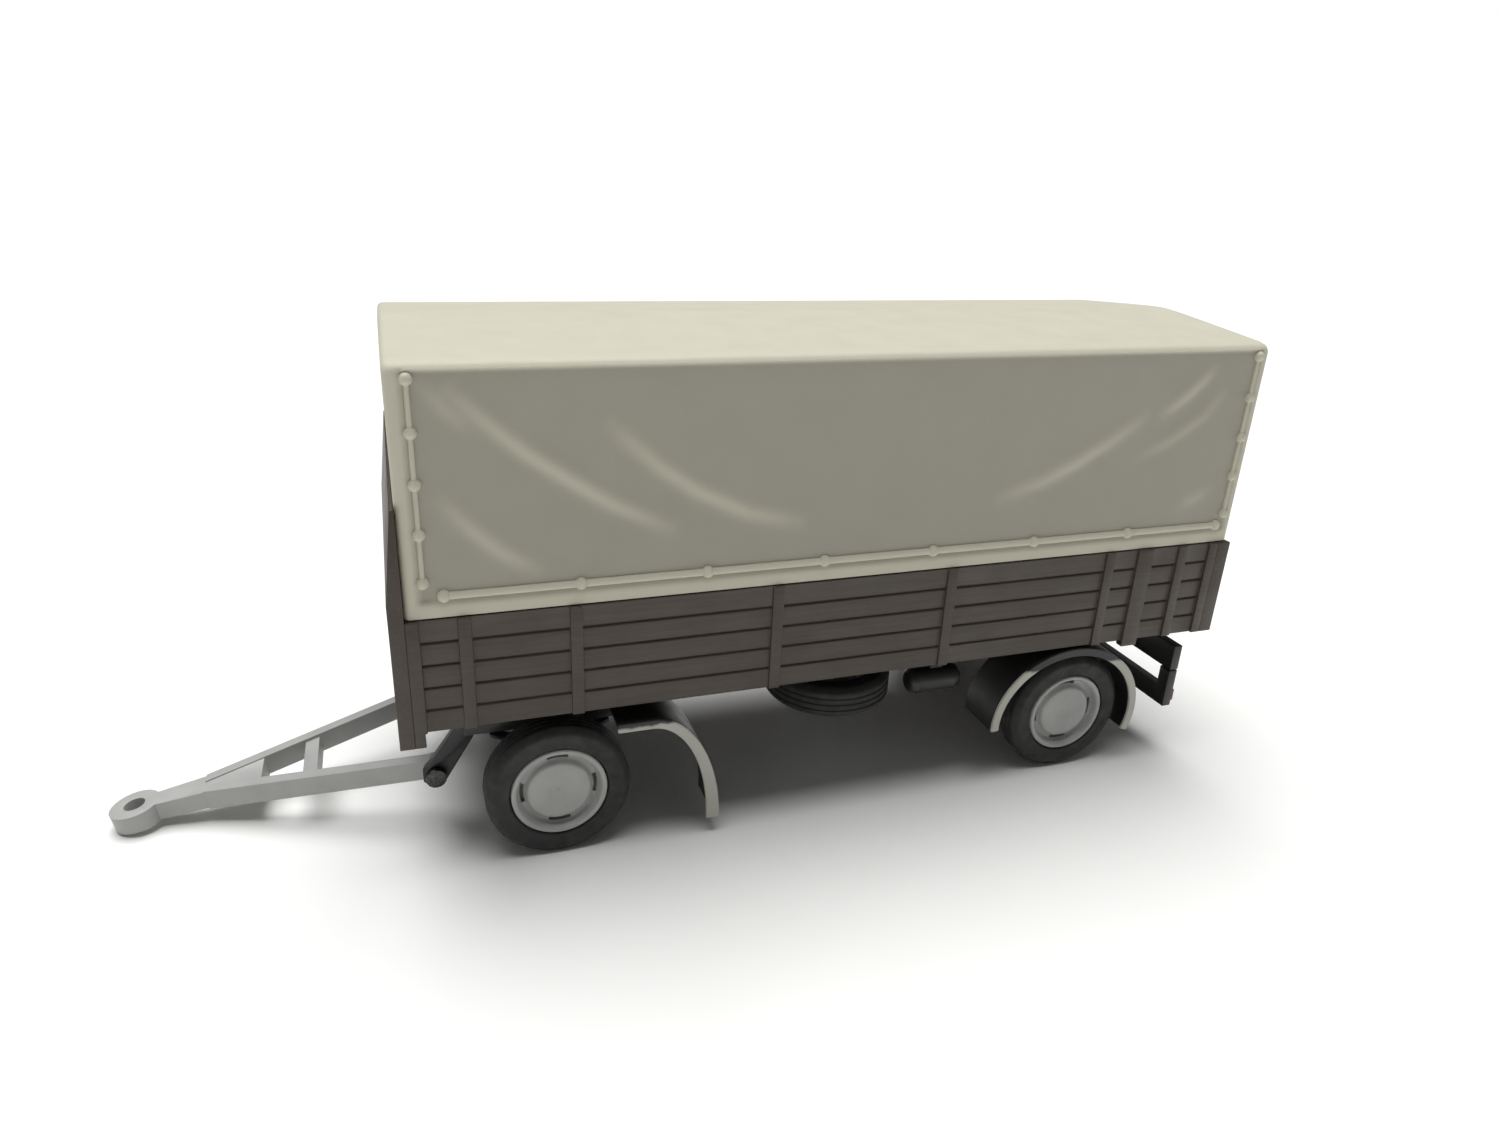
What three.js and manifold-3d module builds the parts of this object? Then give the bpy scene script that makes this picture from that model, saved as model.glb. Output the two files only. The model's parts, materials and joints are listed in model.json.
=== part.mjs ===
// A 1:87 model of a two-axle drawbar lorry trailer with a board body and a tarpaulin cover.
// Millimetres, +Z up, drawbar towards -X. The trailer's own left side is -Y.
// Lengths are first laid out from the body's front face (x = 0, growing rearwards),
// and the finished group is moved so that its origin is the middle of its footprint.
import * as THREE from "three";
import { mergeVertices } from "three/addons/utils/BufferGeometryUtils.js";
import Module from "manifold-3d";

const wasm = await Module();
wasm.setup();

// ---- Driving dimensions ----
const seat = 0.1; // gap between pieces that are fixed to each other
const running = 0.2; // gap between pieces that move on each other

// Board body
const bodyLength = 71;
const bodyWidth = 27; // over the battens
const boardBottom = 12.8;
const boardTop = 21.5;
const boardThickness = 0.95;
const battenDepth = 0.25;
const plankCount = 5;
const grooveWidth = 0.24;
const grooveDepth = 0.16;
const headboardTop = 29.6;
const headboardBend = 22.9; // above this height the front face leans back to the cover
const headboardTopThickness = 0.2;
const cornerPostWidth = 1.7;
const cornerPostDrop = 1.1;
const bedThickness = 1;
const bedRise = 0.6; // bed's underside above the boards' lower edge

// Cover
const coverInset = 0.3; // cover's side face inside the battens' faces
const coverWall = 0.9;
const eaveHeight = 38.9;
const ridgeRise = 1.2;
const eaveRadius = 0.7;
const lipDepth = 0.8;
const lipWall = 0.7;

// Wheels and axles
const tyreRadius = 5.6;
const tyreWidth = 2.9;
const tyreInset = 0.8; // tyre's outer face inside the battens' faces
const rimRadius = 3.72;
const axleRadius = 0.6;
const frontAxleX = 11.2;
const rearAxleX = 57.3;
const roundSegments = 28;
const rimSegments = 24;

// Chassis
const railY = 8;
const railWidth = 1;
const railHeight = 1.6;
const crossMemberDepth = 1;
const crossMemberWidth = 1.1;
const bolsterLength = 11;

// Turntable
const ringRadius = 5.9;
const ringWidth = 1.5;
const ringThickness = 0.55;
const kingPinRadius = 0.8;
const bogieDepth = 1;
const bogieReach = 6.6; // bogie frame's half length from the axle

// Springs
const springHalfSpan = 4.7;
const springCamber = 1.1;
const leafThickness = 0.35;
const leafCount = 4;
const springBracketWidth = 0.9;

// Fenders
const fenderSheet = 0.4;
const fenderInnerY = 8.75;
const fenderOuterY = 13.1;
const fenderEdgeBand = 0.75;
const fenderEdgeSheet = 0.25;
const rearFenderHalfSpan = 7.7;
const rearFenderShift = 0.65; // fender's middle ahead of the axle
const rearFenderGap = 0.2; // fender's crown below the boards
const rearFenderFrontEnd = 5.3; // heights of the two ends
const rearFenderRearEnd = 3.2;

// Drawbar
const hingeX = 2.3;
const hingeZ = 5.3;
const hingePinRadius = 0.45;
const armY = 5.9; // arm's middle at the hinge
const armWidth = 1;
const armDepth = 1.7;
const drawbarReach = 23; // hinge to tow eye's middle
const eyeRadius = 1.85;
const eyeHoleRadius = 0.8;
const eyeThickness = 1.5;
const eyeGroundGap = 0.1;

// Spare wheel and fittings
const spareX = 36.6;
const spareY = -4.8;
const spareTop = 9.8;
const tankX = 44.4;
const tankY = -9.9;
const tankZ = 9.6;
const tankRadius = 1.15;
const tankLength = 5;
const tankBracketWidth = 1.2;
const guardBottom = 4.2;
const guardHeight = 1.8;

// ---- Derived levels ----
const halfWidth = bodyWidth / 2;
const boardFace = halfWidth - battenDepth; // outer face of the boards themselves
const boardInner = boardFace - boardThickness;
const battenRoot = boardFace - boardThickness / 2; // battens grow out of the middle of the boards
const bedBottom = boardBottom + bedRise;
const bedTop = bedBottom + bedThickness;
const coverFront = boardThickness + seat;
const coverRear = bodyLength - 0.2;
const coverHalf = halfWidth - coverInset;
const coverBottom = boardTop + seat;
const tyreOuterY = halfWidth - tyreInset;
const tyreBoreRadius = rimRadius + seat;
const axleZ = tyreRadius;
const railTop = bedBottom - seat;
const railBottom = railTop - railHeight;
const bolsterThickness = 0.7;
const upperRingTop = railBottom - seat;
const lowerRingTop = upperRingTop - ringThickness - running;
const bogieTop = lowerRingTop - ringThickness - seat;
const bogieBottom = bogieTop - bogieDepth;
const springTop = bogieBottom - seat; // highest point of a spring's ends
const springCentreTop = springTop - springCamber;
const springCentreBottom = springCentreTop - leafThickness * leafCount;

// ---- Colours and finishes ----
function plastic(colour, roughness) {
  return new THREE.MeshStandardMaterial({ color: colour, roughness, metalness: 0 });
}
const finish = {
  brown: plastic(0x54483e, 0.5),
  black: plastic(0x1e1e1d, 0.45),
  grey: plastic(0xa9a9a2, 0.5),
  tarp: plastic(0xcfcbbb, 0.6),
  rubber: plastic(0x2b2b2b, 0.75),
  lamp: plastic(0x8c2a22, 0.3),
  steel: new THREE.MeshStandardMaterial({ color: 0x8f9294, roughness: 0.35, metalness: 1 }),
};

// ---- Geometry helpers ----
function box(x0, x1, y0, y1, z0, z1) {
  const geometry = new THREE.BoxGeometry(x1 - x0, y1 - y0, z1 - z0);
  return geometry.translate((x0 + x1) / 2, (y0 + y1) / 2, (z0 + z1) / 2);
}

function outline(points) {
  return new THREE.Shape(points.map(([u, v]) => new THREE.Vector2(u, v)));
}

// An outline drawn in y and z, extruded from x0 to x1.
function extrudeAlongX(shape, x0, x1) {
  const geometry = new THREE.ExtrudeGeometry(shape, {
    depth: x1 - x0,
    bevelEnabled: false,
    curveSegments: 6,
  });
  const turn = new THREE.Matrix4().makeBasis(
    new THREE.Vector3(0, 1, 0),
    new THREE.Vector3(0, 0, 1),
    new THREE.Vector3(1, 0, 0),
  );
  return geometry.applyMatrix4(turn).translate(x0, 0, 0);
}

// An outline drawn in x and z, extruded from y0 to y1.
function extrudeAlongY(shape, y0, y1) {
  const geometry = new THREE.ExtrudeGeometry(shape, {
    depth: y1 - y0,
    bevelEnabled: false,
    curveSegments: 8,
  });
  const turn = new THREE.Matrix4().makeBasis(
    new THREE.Vector3(1, 0, 0),
    new THREE.Vector3(0, 0, 1),
    new THREE.Vector3(0, -1, 0),
  );
  return geometry.applyMatrix4(turn).translate(0, y1, 0);
}

// A profile of [radius, y] points turned about the Y axis.
function turnedAboutY(profile, segments = roundSegments) {
  const points = profile.map(([radius, y]) => new THREE.Vector2(radius, y));
  if (THREE.ShapeUtils.area(points) < 0) points.reverse();
  return new THREE.LatheGeometry(points, segments);
}

// The same profile turned about the Z axis, its y going up.
function turnedAboutZ(profile, segments = roundSegments) {
  return turnedAboutY(profile, segments).rotateX(Math.PI / 2);
}

// A closed ring profile for the two functions above.
function ringProfile(inner, outer, low, high) {
  return [
    [inner, low],
    [outer, low],
    [outer, high],
    [inner, high],
    [inner, low],
  ];
}

function rodProfile(radius, low, high) {
  return [
    [0, low],
    [radius, low],
    [radius, high],
    [0, high],
  ];
}

function toSolid(geometry) {
  const bare = geometry.clone();
  bare.deleteAttribute("normal");
  bare.deleteAttribute("uv");
  const merged = mergeVertices(bare, 1e-4);
  const vertProperties = merged.getAttribute("position").array;
  const triVerts = new Uint32Array(merged.index.array);
  return new wasm.Manifold(new wasm.Mesh({ numProp: 3, vertProperties, triVerts }));
}

function toGeometry(solid) {
  const made = solid.getMesh();
  const geometry = new THREE.BufferGeometry();
  geometry.setAttribute("position", new THREE.BufferAttribute(made.vertProperties, 3));
  geometry.setIndex(new THREE.BufferAttribute(made.triVerts, 1));
  geometry.computeVertexNormals();
  return geometry;
}

function join(...geometries) {
  return toGeometry(geometries.map(toSolid).reduce((whole, piece) => whole.add(piece)));
}

function cut(geometry, ...tools) {
  return toGeometry(tools.map(toSolid).reduce((whole, tool) => whole.subtract(tool), toSolid(geometry)));
}

const trailer = new THREE.Group();

function addMesh(name, geometry, material, parent = trailer) {
  const mesh = new THREE.Mesh(geometry, material);
  mesh.name = name;
  parent.add(mesh);
  return mesh;
}

// The two sides of the trailer: the left one is at -Y.
const sides = [
  ["left", -1],
  ["right", 1],
];

// Turns a stretch of |y| into a low and a high y on one side.
function across(sign, near, far) {
  return sign < 0 ? [-far, -near] : [near, far];
}

// ---- Board body ----
// Cross-section of a wall of planks, outer face towards +u, with a groove between planks.
function plankSection(inner, face, top) {
  const points = [
    [inner, boardBottom],
    [face, boardBottom],
  ];
  const pitch = (boardTop - boardBottom) / plankCount;
  for (let i = 1; i < plankCount; i++) {
    const z = boardBottom + i * pitch;
    points.push([face, z - grooveWidth / 2]);
    points.push([face - grooveDepth, z]);
    points.push([face, z + grooveWidth / 2]);
  }
  points.push([face, top]);
  return points;
}

// Battens along a side board: front edge and width.
const battenWidth = 0.9;
const battenStarts = [4.5, 12.2, 27.6, 42.6, 57.9, 65.5];
const widePost = { start: 61.2, width: 1.6, drop: 0.5 };

function sideBoard(sign) {
  const points = [...plankSection(boardInner, boardFace, boardTop), [boardInner, boardTop]];
  const section = outline(points.map(([y, z]) => [sign * y, z]));
  const front = boardThickness + seat;
  const rear = bodyLength - boardThickness - battenDepth - seat;
  const battens = [front, ...battenStarts, rear - battenWidth].map((start) =>
    box(start, start + battenWidth, ...across(sign, battenRoot, halfWidth), boardBottom, boardTop),
  );
  const post = box(
    widePost.start,
    widePost.start + widePost.width,
    ...across(sign, battenRoot, halfWidth),
    boardBottom - widePost.drop,
    boardTop,
  );
  const cornerPost = box(
    front,
    front + cornerPostWidth - boardThickness,
    ...across(sign, boardInner, halfWidth),
    boardBottom - cornerPostDrop,
    boardTop,
  );
  return join(extrudeAlongX(section, front, rear), ...battens, post, cornerPost);
}

// The headboard closes the front and stands up against the cover, growing thinner towards its
// top. Its corner posts reach below the boards.
function headboard() {
  const points = plankSection(-boardThickness, 0, headboardBend);
  points.push([headboardTopThickness - boardThickness, headboardTop], [-boardThickness, headboardTop]);
  const section = outline(points.map(([depth, z]) => [-depth, z]));
  const posts = sides.map(([, sign]) =>
    box(
      0,
      boardThickness,
      ...across(sign, halfWidth - cornerPostWidth, halfWidth),
      boardBottom - cornerPostDrop,
      headboardBend,
    ),
  );
  return join(extrudeAlongY(section, -halfWidth, halfWidth), ...posts);
}

// The tailboard is as high as the side boards and carries three battens.
function tailboard() {
  const face = bodyLength - battenDepth;
  const inner = face - boardThickness;
  const section = outline([...plankSection(inner, face, boardTop), [inner, boardTop]]);
  const battens = [-halfWidth, -battenWidth / 2, halfWidth - battenWidth].map((y) =>
    box(face - boardThickness / 2, bodyLength, y, y + battenWidth, boardBottom, boardTop),
  );
  return join(extrudeAlongY(section, -halfWidth, halfWidth), ...battens);
}

addMesh(
  "load_bed",
  box(
    boardThickness + seat,
    bodyLength - boardThickness - battenDepth - seat,
    -boardInner + seat,
    boardInner - seat,
    bedBottom,
    bedTop,
  ),
  finish.brown,
);
for (const [side, sign] of sides) addMesh("side_board_" + side, sideBoard(sign), finish.brown);
addMesh("headboard", headboard(), finish.brown);
addMesh("tailboard", tailboard(), finish.brown);

// ---- Cover ----
// Cross-section of the cover: upright walls, rounded eaves and a low ridge.
function coverSection(half, bottom, eave, ridge, radius) {
  const shape = new THREE.Shape();
  shape.moveTo(-half, bottom);
  shape.lineTo(half, bottom);
  shape.lineTo(half, eave - radius);
  shape.quadraticCurveTo(half, eave, half - radius, eave + (ridge - eave) * (radius / half));
  shape.lineTo(0, ridge);
  shape.lineTo(-half + radius, eave + (ridge - eave) * (radius / half));
  shape.quadraticCurveTo(-half, eave, -half, eave - radius);
  shape.closePath();
  return shape;
}

function cover() {
  const ridge = eaveHeight + ridgeRise;
  const innerHalf = coverHalf - coverWall;
  const lipHalf = boardInner - seat - 0.05;
  const shell = extrudeAlongX(
    coverSection(coverHalf, coverBottom, eaveHeight, ridge, eaveRadius),
    coverFront,
    coverRear,
  );
  const lip = box(
    coverFront + coverWall - lipWall,
    bodyLength - boardThickness - battenDepth - 2 * seat,
    -lipHalf,
    lipHalf,
    coverBottom - lipDepth,
    coverBottom + coverWall,
  );
  const hollow = extrudeAlongX(
    coverSection(
      innerHalf,
      coverBottom + coverWall,
      eaveHeight - coverWall,
      ridge - coverWall,
      eaveRadius / 2,
    ),
    coverFront + coverWall,
    coverRear - coverWall,
  );
  const mouth = box(
    coverFront + coverWall,
    bodyLength - boardThickness - battenDepth - 2 * seat - lipWall,
    -lipHalf + lipWall,
    lipHalf - lipWall,
    coverBottom - lipDepth - 1,
    coverBottom + coverWall + 1,
  );
  return cut(join(shell, lip), hollow, mouth);
}

addMesh("cover", cover(), finish.tarp);

// ---- Chassis ----
const crossMemberXs = [4.2, 21.5, 30.6, 39.7, 48.8, 66];
const railEnds = [1.6, bodyLength - boardThickness - battenDepth - seat];

// A rail and the two brackets under it that hold a rear spring by its ends.
function frameRail(sign) {
  const width = across(sign, railY - railWidth / 2, railY + railWidth / 2);
  const bracketBottom = springTop - springCamber / 2;
  const brackets = [
    rearAxleX - springHalfSpan - seat - springBracketWidth,
    rearAxleX + springHalfSpan + seat,
  ].map((x) => box(x, x + springBracketWidth, ...width, bracketBottom, railBottom + seat));
  return join(box(...railEnds, ...width, railBottom, railTop), ...brackets);
}
for (const [side, sign] of sides) addMesh("frame_rail_" + side, frameRail(sign), finish.black);

// Each cross member is a bar between the rails.
crossMemberXs.forEach((x, index) => {
  const reach = railY - railWidth / 2 - seat;
  addMesh(
    "cross_member_" + (index + 1),
    box(x, x + crossMemberWidth, -reach, reach, railTop - crossMemberDepth, railTop),
    finish.black,
  );
});

// A plate under the two rails carries the turntable.
const bolsterReach = railY - railWidth / 2 - seat;
addMesh(
  "front_bolster",
  box(
    frontAxleX - bolsterLength / 2,
    frontAxleX + bolsterLength / 2,
    -bolsterReach,
    bolsterReach,
    railBottom,
    railBottom + bolsterThickness,
  ),
  finish.black,
);

function turntableRing(top) {
  const profile = ringProfile(ringRadius - ringWidth, ringRadius, top - ringThickness, top);
  return turnedAboutZ(profile).translate(frontAxleX, 0, 0);
}

addMesh("turntable_ring_upper", turntableRing(upperRingTop), finish.black);

const kingPinHead = 1.3;
const kingPinHeadDepth = 0.5;
function kingPin() {
  const top = railBottom - seat;
  const bottom = bogieBottom - running;
  return turnedAboutZ([
    [0, bottom - kingPinHeadDepth],
    [kingPinHead, bottom - kingPinHeadDepth],
    [kingPinHead, bottom],
    [kingPinRadius, bottom],
    [kingPinRadius, top],
    [0, top],
  ], 16).translate(frontAxleX, 0, 0);
}
addMesh("king_pin", kingPin(), finish.steel);

// ---- Springs and axle blocks ----
// A stack of leaves, the longest on top, curving up towards both ends.
function leafSpring(axleX, sign) {
  const steps = 6;
  const rise = (x) => springCamber * (x / springHalfSpan) ** 2;
  const points = [];
  for (let i = -steps; i <= steps; i++) {
    const x = (springHalfSpan * i) / steps;
    points.push([axleX + x, springCentreTop + rise(x)]);
  }
  const ends = [];
  for (let leaf = 0; leaf < leafCount; leaf++) {
    const reach = springHalfSpan * (1 - (0.8 * leaf) / leafCount);
    const next = leaf + 1 < leafCount ? springHalfSpan * (1 - (0.8 * (leaf + 1)) / leafCount) : 0.5;
    const drop = leafThickness * (leaf + 1);
    ends.push([reach, springCentreTop + rise(reach) - drop]);
    ends.push([next, springCentreTop + rise(next) - drop]);
  }
  ends.forEach(([x, z]) => points.push([axleX + x, z]));
  ends.reverse().forEach(([x, z]) => points.push([axleX - x, z]));
  const half = railWidth / 2;
  return extrudeAlongY(outline(points), ...across(sign, railY - half, railY + half));
}

// The block that the axle runs in, clamped under the spring.
function axleBlock(axleX, sign) {
  const half = railWidth / 2;
  const width = 1;
  const wall = 0.7; // below the axle
  const chamfer = 0.3;
  const top = springCentreBottom - seat;
  const bottom = axleZ - axleRadius - wall;
  const shape = outline([
    [axleX - width, bottom + chamfer],
    [axleX - width + chamfer, bottom],
    [axleX + width - chamfer, bottom],
    [axleX + width, bottom + chamfer],
    [axleX + width, top],
    [axleX - width, top],
  ]);
  const bore = new THREE.Path();
  bore.absarc(axleX, axleZ, axleRadius + running, 0, 2 * Math.PI, true);
  shape.holes.push(bore);
  return extrudeAlongY(shape, ...across(sign, railY - half, railY + half));
}

for (const [side, sign] of sides) {
  addMesh("rear_spring_" + side, leafSpring(rearAxleX, sign), finish.black);
  addMesh("rear_axle_block_" + side, axleBlock(rearAxleX, sign), finish.black);
}

// ---- Rear fenders ----
// A half-ellipse of sheet over the wheel. The same arc gives the sheet and its pale edge.
const rearFenderTop = boardBottom - rearFenderGap;
const rearFenderX = rearAxleX - rearFenderShift;
const rearFenderRise = rearFenderTop - axleZ;

function fenderArc(thickness) {
  const steps = 14;
  const start = Math.PI + Math.asin((axleZ - rearFenderFrontEnd) / rearFenderRise);
  const end = -Math.asin((axleZ - rearFenderRearEnd) / rearFenderRise);
  const outer = [];
  const inner = [];
  for (let i = 0; i <= steps; i++) {
    const angle = start + ((end - start) * i) / steps;
    const direction = [Math.cos(angle), Math.sin(angle)];
    outer.push([
      rearFenderX + rearFenderHalfSpan * direction[0],
      axleZ + rearFenderRise * direction[1],
    ]);
    inner.push([
      rearFenderX + (rearFenderHalfSpan - thickness) * direction[0],
      axleZ + (rearFenderRise - thickness) * direction[1],
    ]);
  }
  return outline([...outer, ...inner.reverse()]);
}

for (const [side, sign] of sides) {
  const edgeStart = fenderOuterY + 0.05;
  addMesh(
    "rear_fender_" + side,
    extrudeAlongY(fenderArc(fenderSheet), ...across(sign, fenderInnerY, fenderOuterY)),
    finish.black,
  );
  addMesh(
    "rear_fender_edge_" + side,
    extrudeAlongY(fenderArc(fenderEdgeBand), ...across(sign, edgeStart, edgeStart + fenderEdgeSheet)),
    finish.grey,
  );
}

// ---- Rear beam, guard and lamps ----
// The beam hangs from the rails' ends, and the guard hangs from the beam.
const beamFront = 68.9;
const beamThickness = 0.9;
const beamTop = 10.6;
const beamBottom = 8.1;
const beamHalf = 12;
const uprightWidth = 1.3;
const lampLength = 1.6;
const lampDepth = 0.4;
const lampMargin = 0.3;
const beamRear = beamFront + beamThickness;

function rearBeam() {
  const lugs = sides.map(([, sign]) =>
    box(
      beamFront,
      beamRear,
      ...across(sign, railY - railWidth / 2, railY + railWidth / 2),
      beamTop - 0.2,
      railBottom - seat,
    ),
  );
  return join(box(beamFront, beamRear, -beamHalf, beamHalf, beamBottom, beamTop), ...lugs);
}
addMesh("rear_beam", rearBeam(), finish.black);

function rearGuard() {
  const top = guardBottom + guardHeight;
  const uprights = sides.map(([, sign]) =>
    box(
      beamFront,
      beamRear,
      ...across(sign, beamHalf - uprightWidth, beamHalf),
      top - 0.2,
      beamBottom - seat,
    ),
  );
  return join(box(beamFront, beamRear, -beamHalf, beamHalf, guardBottom, top), ...uprights);
}
addMesh("rear_guard", rearGuard(), finish.black);

for (const [side, sign] of sides) {
  addMesh(
    "rear_lamp_" + side,
    box(
      beamRear + seat,
      beamRear + seat + lampDepth,
      ...across(sign, beamHalf - lampLength - lampMargin, beamHalf - lampMargin),
      guardBottom + lampMargin,
      guardBottom + guardHeight - lampMargin,
    ),
    finish.lamp,
  );
}

// ---- Wheels ----
// Tyre profile from its outer face inwards, as [radius, distance from the outer face].
function tyreProfile() {
  return [
    [tyreBoreRadius, 0.35],
    [tyreBoreRadius + 0.25, 0.12],
    [tyreRadius - 0.95, 0],
    [tyreRadius - 0.2, 0.3],
    [tyreRadius, 0.65],
    [tyreRadius, tyreWidth - 0.65],
    [tyreRadius - 0.2, tyreWidth - 0.3],
    [tyreRadius - 0.95, tyreWidth],
    [tyreBoreRadius, tyreWidth - 0.35],
    [tyreBoreRadius, 0.35],
  ];
}

// Rim profile: a raised disc with a hub recess, a groove around it and an outer lip.
const discRadius = 2.45;
const discDepth = 0.45;
const grooveDepthRim = 0.8;
const hubDepth = 0.75;
const hubRadius = 1.15;
const rimBack = tyreWidth - 0.5;
const rimWall = 0.45;
const discThickness = 0.5;
function rimProfile(boreRadius) {
  const lipRadius = rimRadius - rimWall;
  return [
    [boreRadius, hubDepth],
    [hubRadius - 0.25, hubDepth],
    [hubRadius, discDepth],
    [discRadius, discDepth],
    [discRadius + 0.2, grooveDepthRim],
    [lipRadius - 0.15, grooveDepthRim],
    [lipRadius, 0.15],
    [rimRadius - 0.15, 0.1],
    [rimRadius, 0.3],
    [rimRadius, rimBack],
    [lipRadius, rimBack],
    [lipRadius, grooveDepthRim + discThickness],
    [hubRadius + 0.4, grooveDepthRim + discThickness],
    [hubRadius, rimBack],
    [boreRadius, rimBack],
    [boreRadius, hubDepth],
  ];
}

// Four narrow slots stand in the groove, above, below and on both sides of the hub.
const slotCount = 4;
const slotWidth = 0.3;
const slotLength = 1.3;
function rim(boreRadius) {
  const place = (discRadius + rimRadius - rimWall) / 2;
  const slots = [];
  for (let i = 0; i < slotCount; i++) {
    const slot = new THREE.BoxGeometry(slotLength, 4 * discThickness, slotWidth);
    slot.translate(0, grooveDepthRim, place);
    slots.push(slot.rotateY((i * 2 * Math.PI) / slotCount));
  }
  return cut(turnedAboutY(rimProfile(boreRadius), rimSegments), ...slots);
}

// A wheelset turns about its own axle: its group stands at the axle's middle.
function wheelset(name, axleX) {
  const group = new THREE.Group();
  group.position.set(axleX, 0, axleZ);
  trailer.add(group);
  const shaftEnd = tyreOuterY - hubDepth;
  addMesh(
    name + "_axle",
    turnedAboutY(rodProfile(axleRadius, -shaftEnd, shaftEnd), 16),
    finish.steel,
    group,
  );
  for (const [side, sign] of sides) {
    const wheel = new THREE.Group();
    wheel.position.y = sign * tyreOuterY;
    wheel.rotation.z = sign < 0 ? 0 : Math.PI;
    group.add(wheel);
    addMesh(name + "_tyre_" + side, turnedAboutY(tyreProfile()), finish.rubber, wheel);
    addMesh(name + "_rim_" + side, rim(axleRadius + seat), finish.grey, wheel);
  }
}

wheelset("front", frontAxleX);
wheelset("rear", rearAxleX);

// ---- Turntable ----
addMesh("turntable_ring_lower", turntableRing(lowerRingTop), finish.black);

// Lugs hang from the frame's front beam down to the drawbar's hinge pins.
const lugWidth = 0.8;
const lugInnerY = armY + armWidth / 2 + running;
const frameBeam = 1.2;
const outriggerReach = 12;
const outriggerDepth = 0.5;
const bolsterHalfLength = 3.4;
const bogieFront = frontAxleX - bogieReach;
const bogieRear = frontAxleX + bogieReach;
const frontFenderTop = railBottom - 0.4;

function hingeLug(sign) {
  const eye = 0.95;
  const shape = outline([
    [bogieFront, bogieTop],
    [hingeX - eye, hingeZ + 0.3],
    [hingeX - eye, hingeZ - 0.4],
    [hingeX - 0.4, hingeZ - eye],
    [hingeX + 0.5, hingeZ - eye],
    [bogieFront + frameBeam, bogieBottom],
    [bogieFront + frameBeam, bogieTop],
  ]);
  const bore = new THREE.Path();
  bore.absarc(hingeX, hingeZ, hingePinRadius + seat, 0, 2 * Math.PI, true);
  shape.holes.push(bore);
  return extrudeAlongY(shape, ...across(sign, lugInnerY, lugInnerY + lugWidth));
}

function bogieFrame() {
  const inner = railY - railWidth / 2;
  const outer = railY + railWidth / 2;
  const rails = sides.map(([, sign]) =>
    box(bogieFront, bogieRear, ...across(sign, inner, outer), bogieBottom, bogieTop),
  );
  const beams = [bogieFront, bogieRear - frameBeam].map((x) =>
    box(x, x + frameBeam, -outer, outer, bogieBottom, bogieTop),
  );
  const bolster = box(
    frontAxleX - bolsterHalfLength,
    frontAxleX + bolsterHalfLength,
    -outer,
    outer,
    bogieTop - bolsterThickness,
    bogieTop,
  );
  const outriggers = sides.map(([, sign]) =>
    box(
      bogieRear - frameBeam,
      bogieRear,
      ...across(sign, inner, outriggerReach),
      bogieTop - outriggerDepth,
      frontFenderTop - fenderSheet - seat,
    ),
  );
  const lugs = sides.map(([, sign]) => hingeLug(sign));
  const hole = turnedAboutZ(
    rodProfile(kingPinRadius + running, bogieBottom - 1, bogieTop + 1),
    16,
  ).translate(frontAxleX, 0, 0);
  return cut(join(bolster, ...rails, ...beams, ...outriggers, ...lugs), hole);
}
addMesh("bogie_frame", bogieFrame(), finish.black);

for (const [side, sign] of sides) {
  addMesh("front_spring_" + side, leafSpring(frontAxleX, sign), finish.black);
  addMesh("front_axle_block_" + side, axleBlock(frontAxleX, sign), finish.black);
}

// ---- Front fenders ----
// A short flat top behind the wheel, then a long curve down towards the ground.
const frontFenderStart = 15.6;
const frontFenderBend = 18.4;
const frontFenderFoot = { x: 23.9, z: 1.4 };

function frontFenderShape(topBand, footBand) {
  const steps = 10;
  const rear = frontFenderFoot.x - frontFenderBend;
  const drop = frontFenderTop - frontFenderFoot.z;
  const outer = [[frontFenderStart, frontFenderTop]];
  const inner = [[frontFenderStart, frontFenderTop - topBand]];
  for (let i = 0; i <= steps; i++) {
    const angle = (Math.PI / 2) * (1 - i / steps);
    const band = topBand + ((footBand - topBand) * i) / steps;
    const along = [Math.cos(angle), Math.sin(angle)];
    outer.push([frontFenderBend + rear * along[0], frontFenderFoot.z + drop * along[1]]);
    inner.push([
      frontFenderBend + (rear - band) * along[0],
      frontFenderFoot.z + (drop - band) * along[1],
    ]);
  }
  return outline([...outer, ...inner.reverse()]);
}

for (const [side, sign] of sides) {
  const edgeStart = fenderOuterY + 0.05;
  const footBand = 1.1;
  addMesh(
    "front_fender_" + side,
    extrudeAlongY(
      frontFenderShape(fenderSheet, fenderSheet),
      ...across(sign, fenderInnerY, fenderOuterY),
    ),
    finish.black,
  );
  addMesh(
    "front_fender_edge_" + side,
    extrudeAlongY(
      frontFenderShape(fenderEdgeBand, footBand),
      ...across(sign, edgeStart, edgeStart + fenderEdgeSheet),
    ),
    finish.grey,
  );
}

// ---- Drawbar ----
// The drawbar is drawn flat about its hinge line and drooped until its eye lies on the ground.
const eyeTip = Math.hypot(drawbarReach + eyeRadius, eyeThickness / 2);
const eyeSlope = Math.atan2(eyeThickness / 2, drawbarReach + eyeRadius);
const droop = Math.asin((hingeZ - eyeGroundGap) / eyeTip) - eyeSlope;
const neckX = -drawbarReach + eyeRadius + 3.4; // where the arms meet
const neckY = 0.75;
const neckHalfWidth = 0.85; // at the eye
const webLength = 4.4; // the neck runs on between the arms as a web
const edgeGap = 0.05; // web's edges inside the arms' outer faces
const knuckleRise = 0.1; // knuckles stand this much over the arms
const braceX = -9.6;
const braceWidth = 1.1;

// The arms' middle line: how far out they are at a place x along the drawbar.
function armMiddle(x) {
  return neckY + ((armY - neckY) * (x - neckX)) / -neckX;
}

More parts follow.
